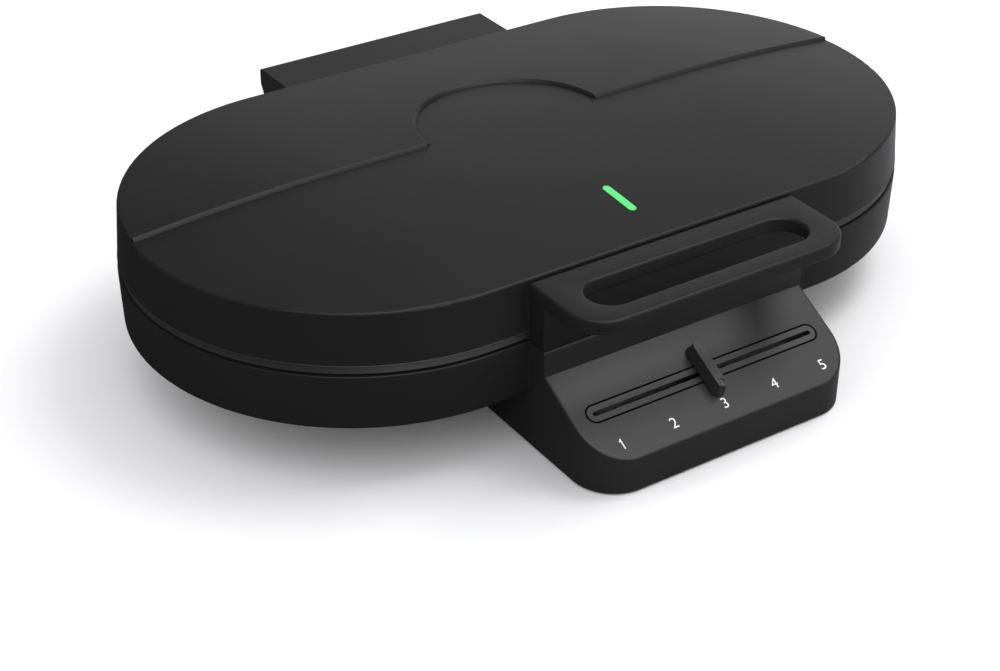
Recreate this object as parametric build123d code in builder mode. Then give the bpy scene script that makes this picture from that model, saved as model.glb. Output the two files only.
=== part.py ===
from build123d import *
import math
import os

# A two-flower heart waffle maker, in millimetres.
# +X runs along the casing, +Y to the hinge, +Z up. The origin is on the table,
# under the middle of the closed appliance, console and hinge block included.

# Driving dimensions: the waffles
WAFFLE_DIAMETER = 155.0      # one flower of five hearts, lobe to lobe
WAFFLE_GAP = 6.2             # plain metal between the two flowers
HEART_DEPTH = 8.0            # cavity in each plate
HEART_DRAFT = 12.0           # degrees, cavity walls
HEART_COUNT = 5
RIDGE_TOP = 2.0              # metal between two hearts at the parting face
RIDGE_DROP = 2.5             # the ridges stop short of the parting face, so that the hearts stay joined
RIDGE_JOIN = 49.0            # length along which two hearts are joined
LOBE_SPREAD = 0.76           # lobe centre's distance from the heart's axis, in lobe radii
PEG_PITCH = 13.0
PEG_SIZE = 6.0
PEG_HEIGHT = 5.5
PEG_DRAFT = 10.0             # degrees
PEG_MARGIN = 2.0             # from a peg's foot to the cavity wall
PEG_ROOT = 0.5               # pegs grow from inside the floor's metal

# Driving dimensions: the casing
RIM_WIDTH = 21.9             # from the waffle's edge to the outside of the casing
SEAM_Z = 48.4                # top of the base wall
BASE_CLEAR = 3.3             # gap between the base's underside and the table
BASE_WALL_HEIGHT = 9.9       # upright part of the base wall, above its rounded underside
BASE_ROUND_REACH = 21.8      # how far the rounding runs inwards
SHELL_WALL = 2.6
SEAM_GAP = 4.4               # from the base wall's top to the lid wall's lower edge
LID_RIM_HEIGHT = 26.4        # rim above the seam
LID_CROWN_HEIGHT = 31.1      # top of the dome above the seam
LID_DRAFT_REACH = 1.85       # how far the lid wall leans in on its way up to the rim
RIM_FILLET = 1.2
REAR_STEP = 1.4              # the rear half of the lid is this much higher
REAR_STEP_Y = 9.2            # where that half begins
BADGE_RADIUS = 43.0          # round low field that reaches into the raised half
BADGE_Y = 7.7
STEP_BEVEL = 1.9

# Driving dimensions: plates, frames and heating
PART_LIFT = 0.6              # parting face above the seam
FLANGE = 3.0                 # plate thickness outside the hearts
PAN_WALL = 3.0               # metal under and around the hearts
PLATE_INSET = 6.2            # plate edge inside the casing's outer face
GUTTER_OFFSET = 1.8          # overflow gutter's inner edge outside the flowers
GUTTER_WIDTH = 2.5
GUTTER_DEPTH = 1.2
PLATE_SCREW_INSET = 7.7      # plate screws' line inside the plate's edge
PLATE_SCREW_X = 40.0
PLATE_BOSS_DEPTH = 14.0      # bosses' ends behind the parting face
PLATE_BOSS_RADIUS = 5.0
SCREW_RADIUS = 1.9
SCREW_HEAD_RADIUS = 3.8
SCREW_BITE = 9.0             # thread in a shell's post
POST_RADIUS = 4.4
FRAME_WALL = 2.4
LEDGE_WIDTH = 2.6            # the plate's edge rests on this ledge of its frame
LEDGE_THICKNESS = 2.8
LOWER_FRAME_DEPTH = 9.6      # the lower frame's foot below the seam
UPPER_FRAME_HEIGHT = 10.8    # the upper frame's top above the seam
FRAME_FIT = 0.2
LID_LEDGE_IN = 5.0           # lid's ledge over the upper frame, inside the casing's outer face
LID_LEDGE_THICKNESS = 2.6
ELEMENT_DIAMETER = 6.4
ELEMENT_LOOP_RADIUS = 46.0
ELEMENT_TERMINAL_X = 14.0
REFLECTOR_DEPTH = 19.0       # reflector's floor behind the parting face
REFLECTOR_SHEET = 0.8
REFLECTOR_INSET = 5.0        # reflector's wall inside the plate's edge
REFLECTOR_WALL = 8.0
REFLECTOR_CLEARANCE = 1.0
PLATE_STUD_RADIUS = 4.0
STUD_SCREW_RADIUS = 1.5
STUD_SCREW_HEAD = 3.0
STUD_SCREW_LENGTH = 5.0
SCREW_SINK = 0.2             # heads sit this far under the plate's face
DRIVE_WIDTH = 0.9
BLADE_WIDTH = 5.6            # push-on terminals at the element's ends
BLADE_THICKNESS = 0.8
BLADE_LENGTH = 7.0
STRAP_INSET = 8.0            # straps stand on the tube's straight runs, this far in from its bends
STRAP_WIDTH = 9.0
STRAP_SHEET = 1.0
STRAP_REACH = 9.0
STRAP_PIN_RADIUS = 1.5       # cast pins that hold the straps
STRAP_PIN_AT = 6.6
STRIP_GAP = 0.2              # upper frame's foot above the parting face
STRIP_INSET = 0.8            # visible strip inside the casing's outer face
STRIP_FLARE = 1.2            # it leans out on its way down
STRIP_GROOVE = 0.3           # shadow gap under the lid's wall

# Driving dimensions: handle
HANDLE_HALF_WIDTH = 64.0
HANDLE_REACH = 39.6          # front edge beyond the casing
HANDLE_TOP = 25.4            # above the seam
HANDLE_PLATE = 7.0
HANDLE_CORNER = 17.5
HANDLE_LEG = 9.9             # thickness of the upright leg, from the casing's face
HANDLE_LIFT = 0.4            # leg's lower end above the seam
HANDLE_INNER_FILLET = 6.0
HANDLE_EDGE = 1.2
GRIP_SLOT_LENGTH = 101.4
GRIP_SLOT_WIDTH = 19.5
HANDLE_SCREW_X = 52.0
HANDLE_SCREW_Z = 16.4        # above the seam
HANDLE_SCREW_BITE = 8.0
PAD_RADIUS = 5.0
PAD_HEIGHT = 3.4
GRIP_SLOT_SETBACK = 9.1      # from the slot to the handle's front edge

# Driving dimensions: console and temperature slider
CONSOLE_HALF_WIDTH = 64.0
CONSOLE_STAND_OFF = 9.9      # upright face in front of the casing
CONSOLE_DROP = 0.2           # console's top below the seam
CONSOLE_UPRIGHT = 11.5       # height of that face
PANEL_ANGLE = 28.0           # degrees below level
PANEL_LENGTH = 44.0
CONSOLE_CORNER = 18.5
CONSOLE_CLEAR = 0.8          # underside above the table
CONSOLE_BACK = 70.0          # the console runs back to this distance from the casing's middle line
CONSOLE_WALL = 2.5
CONSOLE_EDGE = 1.2
SLOT_DOWN = 21.05            # slider's line, down the panel from its top edge
SLIDER_TRAVEL = 100.0
TRIM_HALF_LENGTH = 56.6
TRIM_WIDTH = 7.2
TRIM_FLANGE = 1.2
TRIM_FIT = 0.2
TRIM_LIP = 2.8
TANG_LENGTH = 4.0
TANG_THICKNESS = 1.3
TANG_CLEARANCE = 0.35
KNOB_LENGTH = 24.0
KNOB_WIDTH = 6.5
KNOB_HEIGHT = 5.6
KNOB_LIFT = 0.5
KNOB_DRAFT = 12.0            # degrees
KNOB_DIMPLE_RADIUS = 1.5
TRACK_HEIGHT = 7.5
TRACK_WIDTH = 10.0
TRACK_WALL = 1.0
WIPER_LENGTH = 9.0
WIPER_HEIGHT = 4.6
WIPER_SIDE_GAP = 0.3
RUNNING_GAP = 0.05
SLOT_WIDTH = 2.0
SLOT_END_GAP = 2.2           # past the tang at the end of its travel
SOCKET_DEPTH = 3.0           # the tang's seat in the knob
DIMPLE_INSET = 3.4           # from the knob's front end
DIMPLE_DEPTH = 0.4
HOOK_X = 38.0                # hooks under the panel that hold the track
HOOK_LENGTH = 6.0
HOOK_THICKNESS = 2.0
HOOK_REACH = 3.0
COVER_THICKNESS = 2.0
COVER_FIT = 0.3
COVER_SCREW_X = 57.6
COVER_SCREW_Y = (104.0, 128.0)
COVER_POST_HEIGHT = 10.0
CONSOLE_SOLE = 88.0          # solid sole under the bowl, back from this distance
CONSOLE_SCREW_X = 50.0
CONSOLE_SCREW_Y = 76.0
CONSOLE_POST_HEIGHT = 8.0

# Driving dimensions: inside and under the base
SENSOR_Y = 60.0              # temperature sensor, in front of the casing's middle line
SENSOR_RADIUS = 4.0
SENSOR_FLANGE = 7.0
SENSOR_FLANGE_HEIGHT = 1.5
LEAD_RADIUS = 0.7
LEAD_LENGTH = 8.0
FUSE_LENGTH = 12.0
FUSE_WIDTH = 5.0
FUSE_HEIGHT = 4.0
FUSE_X = 30.0
FUSE_Y = 20.0
BOARD_X = 52.0               # control board's middle
BOARD_LENGTH = 50.0
BOARD_WIDTH = 60.0
BOARD_THICKNESS = 1.6
BOARD_STANDOFF = 4.0
BOARD_EDGE = 4.0             # from the board's edge to its screws
STANDOFF_RADIUS = 3.0
SMALL_SCREW_RADIUS = 1.2
SMALL_HEAD_RADIUS = 2.4
SMALL_HEAD_HEIGHT = 1.6
SMALL_SCREW_BITE = 3.0
RELAY_LENGTH = 19.0
RELAY_WIDTH = 15.0
RELAY_HEIGHT = 15.0
TERMINAL_BLOCK_LENGTH = 34.0
TERMINAL_BLOCK_WIDTH = 16.0
TERMINAL_BLOCK_HEIGHT = 12.0
TERMINAL_BLOCK_Y = 56.0
CLAMP_Y = 78.0               # cord clamp's middle
CLAMP_LENGTH = 30.0
CLAMP_WIDTH = 8.0
CLAMP_HEIGHT = 6.0
CLAMP_SCREW_X = 10.0
SEAT_WIDTH = 1.8             # step in the wall that carries the lower frame
SEAT_THICKNESS = 2.2
SEAT_DEPTH = 6.0
VENT_X = 104.0
VENT_PITCH = 8.0
VENT_COUNT = 5
VENT_LENGTH = 36.0
VENT_WIDTH = 3.0
WIRE_WAY_Z = 16.0
WIRE_WAY_LENGTH = 50.0
WIRE_WAY_HEIGHT = 8.0

# Driving dimensions: hinge
HINGE_HALF_WIDTH = 59.5
HINGE_REACH = 28.8           # rear face beyond the casing
HINGE_TOP = 24.8             # above the seam
HINGE_FLOOR = 1.5
HINGE_SLANT = 9.0            # how far the rear face leans in on its way down
HINGE_UPRIGHT = 8.0          # height of the rear face's upright part
HINGE_ROUND = 2.2
HINGE_WALL = 3.0
AXIS_OUT = 12.8              # hinge axis behind the casing
AXIS_UP = 2.8                # above the seam
PIN_RADIUS = 3.0
PIN_RUNNING_GAP = 0.05
BUSH_WALL = 1.5
BUSH_LENGTH = 14.0
KNUCKLE_RADIUS = 7.0
PIN_SHORT = 1.5              # pin's inner end, outwards from the bush's
PIN_PROUD = 1.0              # pin's outer end past the ear
EAR_GAP = 0.5
EAR_THICKNESS = 6.5
EAR_SHOULDER = 0.4           # the ear's web stays below the seam
EAR_FOOT = 24.0              # the ear's web meets the wall this far below the seam
EAR_FOOT_INSET = 3.2

# Driving dimensions: light, feet, cord inlet
LIGHT_LENGTH = 20.5
LIGHT_WIDTH = 3.3
LIGHT_Y = 68.2               # in front of the casing's middle line
LIGHT_PROUD = 0.2
LIGHT_FLANGE = 1.5
LIGHT_FIT = 0.1
LIGHT_BASE_DROP = 3.0        # lens's lower face under the lid's skin
LAMP_BOARD_LENGTH = 37.0
LAMP_BOARD_WIDTH = 10.0
LAMP_BOARD_DROP = 1.7        # from the lens's flange to the board
LAMP_PIN_AT = 15.2
FOOT_RADIUS = 8.0
FOOT_SEAT = 1.0
REAR_FOOT_X = 55.0
REAR_FOOT_Y = 66.0
FRONT_FOOT_X = 44.0
FRONT_FOOT_SETBACK = 20.0
CORD_RADIUS = 3.6
CORD_Z = 18.5
GROMMET_SLEEVE = 6.0
GROMMET_FLANGE = 9.0
GROMMET_HEAD = 2.5
GROMMET_LENGTH = 18.5
GROMMET_LIP = 7.0
COLLAR_RADIUS = 10.5
COLLAR_DEPTH = 12.0

# Places worked out from the sizes above
WAFFLE_RADIUS = WAFFLE_DIAMETER / 2
END_X = WAFFLE_RADIUS + WAFFLE_GAP / 2
RADIUS = WAFFLE_RADIUS + RIM_WIDTH
CONSOLE_FACE = RADIUS + CONSOLE_STAND_OFF
SLOPE = math.radians(PANEL_ANGLE)
CONSOLE_FRONT = CONSOLE_FACE + PANEL_LENGTH * math.cos(SLOPE)
HINGE_BACK = RADIUS + HINGE_REACH
BODY_Y = (CONSOLE_FRONT - HINGE_BACK) / 2
PART_Z = SEAM_Z + PART_LIFT
LID_EDGE_Z = SEAM_Z + SEAM_GAP
RIM_Z = SEAM_Z + LID_RIM_HEIGHT
CROWN_Z = SEAM_Z + LID_CROWN_HEIGHT
RIM_RADIUS = RADIUS - LID_DRAFT_REACH
LID_LEAN = LID_DRAFT_REACH / (RIM_Z - LID_EDGE_Z)
DOME_RADIUS = (RIM_RADIUS ** 2 + (CROWN_Z - RIM_Z) ** 2) / (2 * (CROWN_Z - RIM_Z))
BASE_ROUND_TOP = SEAM_Z - BASE_WALL_HEIGHT
BASE_ROUND_HEIGHT = BASE_ROUND_TOP - BASE_CLEAR
PLATE_RADIUS = RADIUS - PLATE_INSET
HEART_SIDE = HEART_DEPTH * math.tan(math.radians(HEART_DRAFT))
HINGE_Y = BODY_Y + RADIUS + AXIS_OUT
HINGE_Z = SEAM_Z + AXIS_UP
PANEL_TOP_Z = SEAM_Z - CONSOLE_DROP - CONSOLE_UPRIGHT
LEFT_RIGHT = (-1, 1)
track_floor = CONSOLE_WALL + TRIM_FLANGE + TRACK_HEIGHT
slot_half = SLIDER_TRAVEL / 2 + TANG_LENGTH / 2 + SLOT_END_GAP
bush_out = PIN_RADIUS + PIN_RUNNING_GAP + BUSH_WALL

os.makedirs("parts", exist_ok=True)


def save(piece, name):
    piece.part.label = name
    export_step(piece.part, f"parts/{name}.step")


def level(height):
    """Horizontal plane over the casing's middle, at a height above the table."""
    return Plane((0, BODY_Y, height))


def side_view(x):
    """Upright plane across the casing; its first axis runs to the back, its second up."""
    return Plane(origin=(x, BODY_Y, 0), x_dir=(0, 1, 0), z_dir=(1, 0, 0))


def on_panel(normal_height):
    """Plane parallel to the console's panel, centred on the slider's line, at a height above its face."""
    run = SLOT_DOWN
    out = (-math.sin(SLOPE), math.cos(SLOPE))
    y = BODY_Y - CONSOLE_FACE - run * math.cos(SLOPE) + normal_height * out[0]
    z = PANEL_TOP_Z - run * math.sin(SLOPE) + normal_height * out[1]
    return Plane(origin=(0, y, z), x_dir=(1, 0, 0), z_dir=(0, out[0], out[1]))


def around_casing(section, mode=Mode.ADD):
    """Carries a half section round the casing's outline: straight along the middle, turned at both ends.
    The section is drawn with its first axis outwards from the middle line and its second axis up."""
    for side in LEFT_RIGHT:
        x = -side * END_X
        with BuildSketch(Plane(origin=(x, BODY_Y, 0), x_dir=(0, side, 0), z_dir=(side, 0, 0))) as half:
            section()
        extrude(half.sketch, amount=2 * END_X, mode=mode)
        revolve(half.sketch, axis=Axis((x, BODY_Y, 0), (0, 0, 1)), revolution_arc=180, mode=mode)


def outline(*points):
    """A closed outline with straight sides, as a face."""
    with BuildLine() as edge:
        Polyline(*points, close=True)
    make_face(edge.edges())


def ring_section(*points):
    return lambda: outline(*points)


def strap_pin_places():
    """The cast pins that hold the heating element's straps."""
    rows = [sy * ELEMENT_LOOP_RADIUS + st * STRAP_PIN_AT for sy in LEFT_RIGHT for st in LEFT_RIGHT]
    return [(side * (END_X - STRAP_INSET), row) for side in LEFT_RIGHT for row in rows]


def stadium(radius, mode=Mode.ADD):
    SlotCenterToCenter(2 * END_X, 2 * radius, mode=mode)


def plate_screw_places():
    """The six plate screws: one in each end, four along the straight sides."""
    line = PLATE_RADIUS - PLATE_SCREW_INSET
    ends = [(side * (END_X + line), 0) for side in LEFT_RIGHT]
    sides = [(sx * PLATE_SCREW_X, sy * line) for sx in LEFT_RIGHT for sy in LEFT_RIGHT]
    return ends + sides


# Hearts

HALF_ANGLE = math.radians(180 / HEART_COUNT)
TIP_START = RIDGE_TOP / 2 / math.sin(HALF_ANGLE)


def lobe_radius():
    """Lobe radius for which five hearts just fill the flower."""
    reach = (1 + LOBE_SPREAD * math.cos(HALF_ANGLE)) / math.sin(HALF_ANGLE)
    a = reach ** 2 + LOBE_SPREAD ** 2 - 1
    b = TIP_START * reach + WAFFLE_RADIUS
    c = TIP_START ** 2 - WAFFLE_RADIUS ** 2
    return (math.sqrt(b * b - a * c) - b) / a


LOBE = lobe_radius()
LOBE_Y = LOBE_SPREAD * LOBE
LOBE_X = TIP_START + (LOBE + LOBE_Y * math.cos(HALF_ANGLE)) / math.sin(HALF_ANGLE)


def heart(inset):
    """One heart, its tip towards the flower's centre, drawn inset from the cavity's mouth."""
    r = LOBE - inset
    tip = (TIP_START + inset / math.sin(HALF_ANGLE), 0)
    cleft = (LOBE_X + math.sqrt(r * r - LOBE_Y * LOBE_Y), 0)
    touch = (LOBE_X - r * math.sin(HALF_ANGLE), LOBE_Y + r * math.cos(HALF_ANGLE))
    out = math.atan2(LOBE_Y, LOBE_X)
    crest = (LOBE_X + r * math.cos(out), LOBE_Y + r * math.sin(out))
    with BuildLine() as edge:
        Line(tip, touch)
        ThreePointArc(touch, crest, cleft)
        ThreePointArc(cleft, (crest[0], -crest[1]), (touch[0], -touch[1]))
        Line((touch[0], -touch[1]), tip)
    make_face(edge.edges())


def peg_places():
    """Grid places whose pegs stand clear of the cavity's wall."""
    room = HEART_SIDE + PEG_MARGIN
    half = PEG_SIZE / 2
    places = []
    for row in range(1, 7):
        x = PEG_PITCH * (row - 0.08)
        for column in range(-3, 4):
            y = PEG_PITCH * column
            corner_y = abs(y) + half
            side_gap = (x - half - TIP_START) * math.sin(HALF_ANGLE) - corner_y * math.cos(HALF_ANGLE)
            past_lobe = math.hypot(max(x + half - LOBE_X, 0), max(corner_y - LOBE_Y, 0))
            cleft_x = LOBE_X + math.sqrt(LOBE ** 2 - LOBE_Y ** 2)
            in_cleft = column == 0 and x + half > cleft_x - room
            inner_y = max(LOBE_Y - abs(y) + half, 0) if x + half > LOBE_X else 0
            past_cleft = math.hypot(max(x + half - LOBE_X, 0), inner_y)
            if side_gap > room and past_lobe < LOBE - room and past_cleft < LOBE - room and not in_cleft:
                places.append((x, y))
    return places


PEGS = peg_places()


def every_heart():
    """The places of the ten hearts' own axes: five round each flower's centre."""
    turns = [90 + 360 / HEART_COUNT * step for step in range(HEART_COUNT)]
    return [Location((side * END_X, 0, 0), (0, 0, turn)) for side in LEFT_RIGHT for turn in turns]


def heart_block(inset_a, height_a, inset_b, height_b):
    """Ten hearts, each lofted from one height to another."""
    with BuildSketch() as first:
        heart(inset_a)
    with BuildSketch() as second:
        heart(inset_b)
    blocks = []
    for place in every_heart():
        low = level(height_a).location * place * first.sketch
        high = level(height_b).location * place * second.sketch
        blocks.append(loft([low, high], ruled=True, mode=Mode.PRIVATE))
    return blocks


# Baking plates

draft_slope = math.tan(math.radians(HEART_DRAFT))
with BuildPart() as lower_baking_plate:
    with BuildSketch(level(PART_Z)):
        stadium(PLATE_RADIUS)
    extrude(amount=-FLANGE)
    add(
        heart_block(
            FLANGE / 2 * draft_slope - PAN_WALL,
            PART_Z - FLANGE / 2,
            HEART_SIDE - PAN_WALL + PAN_WALL * draft_slope,
            PART_Z - HEART_DEPTH - PAN_WALL,
        )
    )
    with BuildSketch(level(PART_Z - FLANGE / 2)):
        with Locations(*plate_screw_places()):
            Circle(PLATE_BOSS_RADIUS)
    extrude(amount=FLANGE / 2 - PLATE_BOSS_DEPTH)
    with BuildSketch(level(PART_Z - HEART_DEPTH - PAN_WALL / 2)):
        with Locations((-END_X, 0), (END_X, 0)):
            Circle(PLATE_STUD_RADIUS)
    extrude(amount=HEART_DEPTH + PAN_WALL / 2 - REFLECTOR_DEPTH)
    with BuildSketch(level(PART_Z - HEART_DEPTH - PAN_WALL / 2)):
        with Locations(*strap_pin_places()):
            Circle(STRAP_PIN_RADIUS)
    extrude(amount=-PAN_WALL / 2 - 2 * STRAP_SHEET)
    add(heart_block(0, PART_Z, HEART_SIDE, PART_Z - HEART_DEPTH), mode=Mode.SUBTRACT)
    with BuildSketch(level(PART_Z)):
        with Locations((-END_X, 0), (END_X, 0)):
            with PolarLocations(RIDGE_JOIN / 2, HEART_COUNT, start_angle=90 + 180 / HEART_COUNT):
                Rectangle(RIDGE_JOIN, 2 * RIDGE_TOP)
    extrude(amount=-RIDGE_DROP, mode=Mode.SUBTRACT)
    with BuildSketch(level(PART_Z - HEART_DEPTH - PEG_ROOT)):
        with Locations(*every_heart()):
            with Locations(*PEGS):
                Rectangle(PEG_SIZE, PEG_SIZE)
    extrude(amount=PEG_HEIGHT + PEG_ROOT, taper=PEG_DRAFT)
    with BuildSketch(level(PART_Z)):
        stadium(WAFFLE_RADIUS + GUTTER_OFFSET + GUTTER_WIDTH)
        stadium(WAFFLE_RADIUS + GUTTER_OFFSET, Mode.SUBTRACT)
    extrude(amount=-GUTTER_DEPTH, mode=Mode.SUBTRACT)
    with Locations(*[(x, BODY_Y + y, PART_Z) for x, y in plate_screw_places()]):
        CounterSinkHole(SCREW_RADIUS, SCREW_HEAD_RADIUS, depth=PLATE_BOSS_DEPTH, counter_sink_angle=90)
    with Locations(*[Location((side * END_X, BODY_Y, PART_Z - REFLECTOR_DEPTH), (180, 0, 0)) for side in LEFT_RIGHT]):
        Hole(STUD_SCREW_RADIUS, depth=REFLECTOR_DEPTH - HEART_DEPTH - PAN_WALL)

with BuildPart() as upper_baking_plate:
    add(mirror(lower_baking_plate.part, about=level(PART_Z), mode=Mode.PRIVATE))

save(lower_baking_plate, "lower_baking_plate")
save(upper_baking_plate, "upper_baking_plate")


# Plate screws: countersunk, flush in the plate, biting into a post of the casing

screw_length = PLATE_BOSS_DEPTH + SCREW_BITE
with BuildPart() as plate_screw:
    with BuildSketch(Plane.XZ):
        outline(
            (0, -SCREW_SINK),
            (SCREW_HEAD_RADIUS - SCREW_SINK, -SCREW_SINK),
            (SCREW_RADIUS, SCREW_RADIUS - SCREW_HEAD_RADIUS),
            (SCREW_RADIUS, -screw_length + SCREW_RADIUS),
            (SCREW_RADIUS / 3, -screw_length),
            (0, -screw_length),
        )
    revolve(axis=Axis.Z)
    with BuildSketch(Plane.XY.offset(-SCREW_SINK)):
        Rectangle(2 * SCREW_RADIUS, DRIVE_WIDTH)
        Rectangle(DRIVE_WIDTH, 2 * SCREW_RADIUS)
    extrude(amount=-DRIVE_WIDTH, mode=Mode.SUBTRACT)

with BuildPart() as lower_plate_screws:
    with Locations(*[(x, BODY_Y + y, PART_Z) for x, y in plate_screw_places()]):
        add(plate_screw.part)

with BuildPart() as upper_plate_screws:
    add(mirror(lower_plate_screws.part, about=level(PART_Z), mode=Mode.PRIVATE))

save(lower_plate_screws, "lower_plate_screws")
save(upper_plate_screws, "upper_plate_screws")


# Plate frames: heat-resistant rings between the hot plates and the casing

ledge_in = PLATE_RADIUS + FRAME_FIT - LEDGE_WIDTH
wall_in = PLATE_RADIUS + FRAME_FIT
lower_out = RADIUS - SHELL_WALL - FRAME_FIT
lower_foot = SEAM_Z - LOWER_FRAME_DEPTH
lower_ledge = PART_Z - FLANGE

with BuildPart() as lower_plate_frame:
    around_casing(
        ring_section(
            (wall_in, SEAM_Z),
            (lower_out, SEAM_Z),
            (lower_out, lower_foot),
            (wall_in, lower_foot),
            (wall_in, lower_ledge - LEDGE_THICKNESS),
            (ledge_in, lower_ledge - LEDGE_THICKNESS),
            (ledge_in, lower_ledge),
            (wall_in, lower_ledge),
        )
    )

upper_foot = PART_Z + STRIP_GAP
upper_ledge = PART_Z + FLANGE
upper_top = SEAM_Z + UPPER_FRAME_HEIGHT
upper_out = wall_in + FRAME_WALL
with BuildPart() as upper_plate_frame:
    around_casing(
        ring_section(
            (wall_in, upper_foot),
            (RADIUS - STRIP_INSET, upper_foot),
            (RADIUS - STRIP_INSET - STRIP_FLARE, LID_EDGE_Z - STRIP_GROOVE),
            (upper_out, LID_EDGE_Z - STRIP_GROOVE),
            (upper_out, upper_top),
            (wall_in, upper_top),
            (wall_in, upper_ledge + LEDGE_THICKNESS),
            (ledge_in, upper_ledge + LEDGE_THICKNESS),
            (ledge_in, upper_ledge),
            (wall_in, upper_ledge),
        )
    )

save(lower_plate_frame, "lower_plate_frame")
save(upper_plate_frame, "upper_plate_frame")


# Heating elements: one sheathed tube round each plate, its two ends meeting at the front

element_z = PART_Z - HEART_DEPTH - PAN_WALL - ELEMENT_DIAMETER / 2
loop = ELEMENT_LOOP_RADIUS
with BuildPart() as lower_heating_element:
    with BuildLine(level(element_z)) as tube_path:
        Line((-ELEMENT_TERMINAL_X, -loop), (-END_X, -loop))
        CenterArc((-END_X, 0), loop, -90, -180)
        Line((-END_X, loop), (END_X, loop))
        CenterArc((END_X, 0), loop, 90, -180)
        Line((END_X, -loop), (ELEMENT_TERMINAL_X, -loop))
    with BuildSketch(Plane(origin=(-ELEMENT_TERMINAL_X, BODY_Y - loop, element_z), z_dir=(-1, 0, 0))):
        Circle(ELEMENT_DIAMETER / 2)
    sweep()
    with Locations((0, BODY_Y - loop, element_z)):
        with GridLocations(2 * ELEMENT_TERMINAL_X - BLADE_LENGTH, 0, 2, 1):
            Box(BLADE_LENGTH, BLADE_WIDTH, BLADE_THICKNESS)

with BuildPart() as upper_heating_element:
    add(mirror(lower_heating_element.part, about=level(PART_Z), mode=Mode.PRIVATE))

save(lower_heating_element, "lower_heating_element")
save(upper_heating_element, "upper_heating_element")


# Element clamps: bent straps that hold the tube against the casting

strap_top = PART_Z - HEART_DEPTH - PAN_WALL
with BuildPart() as lower_element_clamps:
    for x in (STRAP_INSET - END_X, END_X - STRAP_INSET):
        for y in (-loop, loop):
            with BuildSketch(Plane(origin=(x - STRAP_WIDTH / 2, BODY_Y + y, strap_top), x_dir=(0, 1, 0), z_dir=(1, 0, 0))) as strap:
                with BuildLine() as edge:
                    arch = ELEMENT_DIAMETER / 2 + STRAP_SHEET
                    Polyline((-STRAP_REACH, 0), (-STRAP_REACH, -STRAP_SHEET), (-arch, -STRAP_SHEET), (-arch, -ELEMENT_DIAMETER / 2))
                    CenterArc((0, -ELEMENT_DIAMETER / 2), arch, 180, 180)
                    Polyline((arch, -ELEMENT_DIAMETER / 2), (arch, -STRAP_SHEET), (STRAP_REACH, -STRAP_SHEET), (STRAP_REACH, 0))
                    Polyline((STRAP_REACH, 0), (ELEMENT_DIAMETER / 2, 0), (ELEMENT_DIAMETER / 2, -ELEMENT_DIAMETER / 2))
                    CenterArc((0, -ELEMENT_DIAMETER / 2), ELEMENT_DIAMETER / 2, 0, -180)
                    Polyline((-ELEMENT_DIAMETER / 2, -ELEMENT_DIAMETER / 2), (-ELEMENT_DIAMETER / 2, 0), (-STRAP_REACH, 0))
                make_face(edge.edges())
            extrude(strap.sketch, amount=STRAP_WIDTH)
    with BuildSketch(level(strap_top)) as pins:
        with Locations(*strap_pin_places()):
            Circle(STRAP_PIN_RADIUS)
    extrude(pins.sketch, amount=-STRAP_SHEET, mode=Mode.SUBTRACT)

with BuildPart() as upper_element_clamps:
    add(mirror(lower_element_clamps.part, about=level(PART_Z), mode=Mode.PRIVATE))

save(lower_element_clamps, "lower_element_clamps")
save(upper_element_clamps, "upper_element_clamps")


# Reflectors: sheet pans behind the elements, screwed to the castings' studs

reflector_out = PLATE_RADIUS - REFLECTOR_INSET
reflector_z = PART_Z - REFLECTOR_DEPTH
with BuildPart() as lower_reflector:
    around_casing(
        ring_section(
            (0, reflector_z),
            (reflector_out - REFLECTOR_SHEET, reflector_z),
            (reflector_out - REFLECTOR_SHEET, reflector_z + REFLECTOR_WALL),
            (reflector_out, reflector_z + REFLECTOR_WALL),
            (reflector_out, reflector_z - REFLECTOR_SHEET),
            (0, reflector_z - REFLECTOR_SHEET),
        )
    )
    with BuildSketch(level(reflector_z)) as holes:
        with Locations(*plate_screw_places()):
            Circle(PLATE_BOSS_RADIUS + REFLECTOR_CLEARANCE)
        with Locations((-END_X, 0), (END_X, 0)):
            Circle(STUD_SCREW_RADIUS)
        with Locations(*[(side * ELEMENT_TERMINAL_X / 2, -loop) for side in LEFT_RIGHT]):
            Circle(BLADE_WIDTH / 2)
        with Locations((0, -SENSOR_Y)):
            Circle(SENSOR_RADIUS)
    extrude(holes.sketch, amount=REFLECTOR_WALL, both=True, mode=Mode.SUBTRACT)

with BuildPart() as upper_reflector:
    add(mirror(lower_reflector.part, about=level(PART_Z), mode=Mode.PRIVATE))

with BuildPart() as lower_reflector_screws:
    for side in LEFT_RIGHT:
        head = Plane((side * END_X, BODY_Y, reflector_z - REFLECTOR_SHEET))
        with BuildSketch(head):
            Circle(STUD_SCREW_HEAD)
        extrude(amount=-STUD_SCREW_HEAD / 2)
        with BuildSketch(head):
            Circle(STUD_SCREW_RADIUS)
        extrude(amount=STUD_SCREW_LENGTH)

with BuildPart() as upper_reflector_screws:
    add(mirror(lower_reflector_screws.part, about=level(PART_Z), mode=Mode.PRIVATE))

save(lower_reflector, "lower_reflector")
save(upper_reflector, "upper_reflector")
save(lower_reflector_screws, "lower_reflector_screws")
save(upper_reflector_screws, "upper_reflector_screws")


# Base shell

def base_half(inset):
    """Half section of the bowl, inset from its outer face."""
    floor = BASE_CLEAR + inset
    round_x = RADIUS - BASE_ROUND_REACH
    with BuildLine() as edge:
        Line((0, floor), (round_x, floor))
        centre = (round_x, BASE_ROUND_TOP)
        EllipticalCenterArc(centre, BASE_ROUND_REACH - inset, BASE_ROUND_HEIGHT - inset, 270, arc_size=90)
        Polyline((RADIUS - inset, BASE_ROUND_TOP), (RADIUS - inset, SEAM_Z), (0, SEAM_Z), (0, floor))
    make_face(edge.edges())


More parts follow.
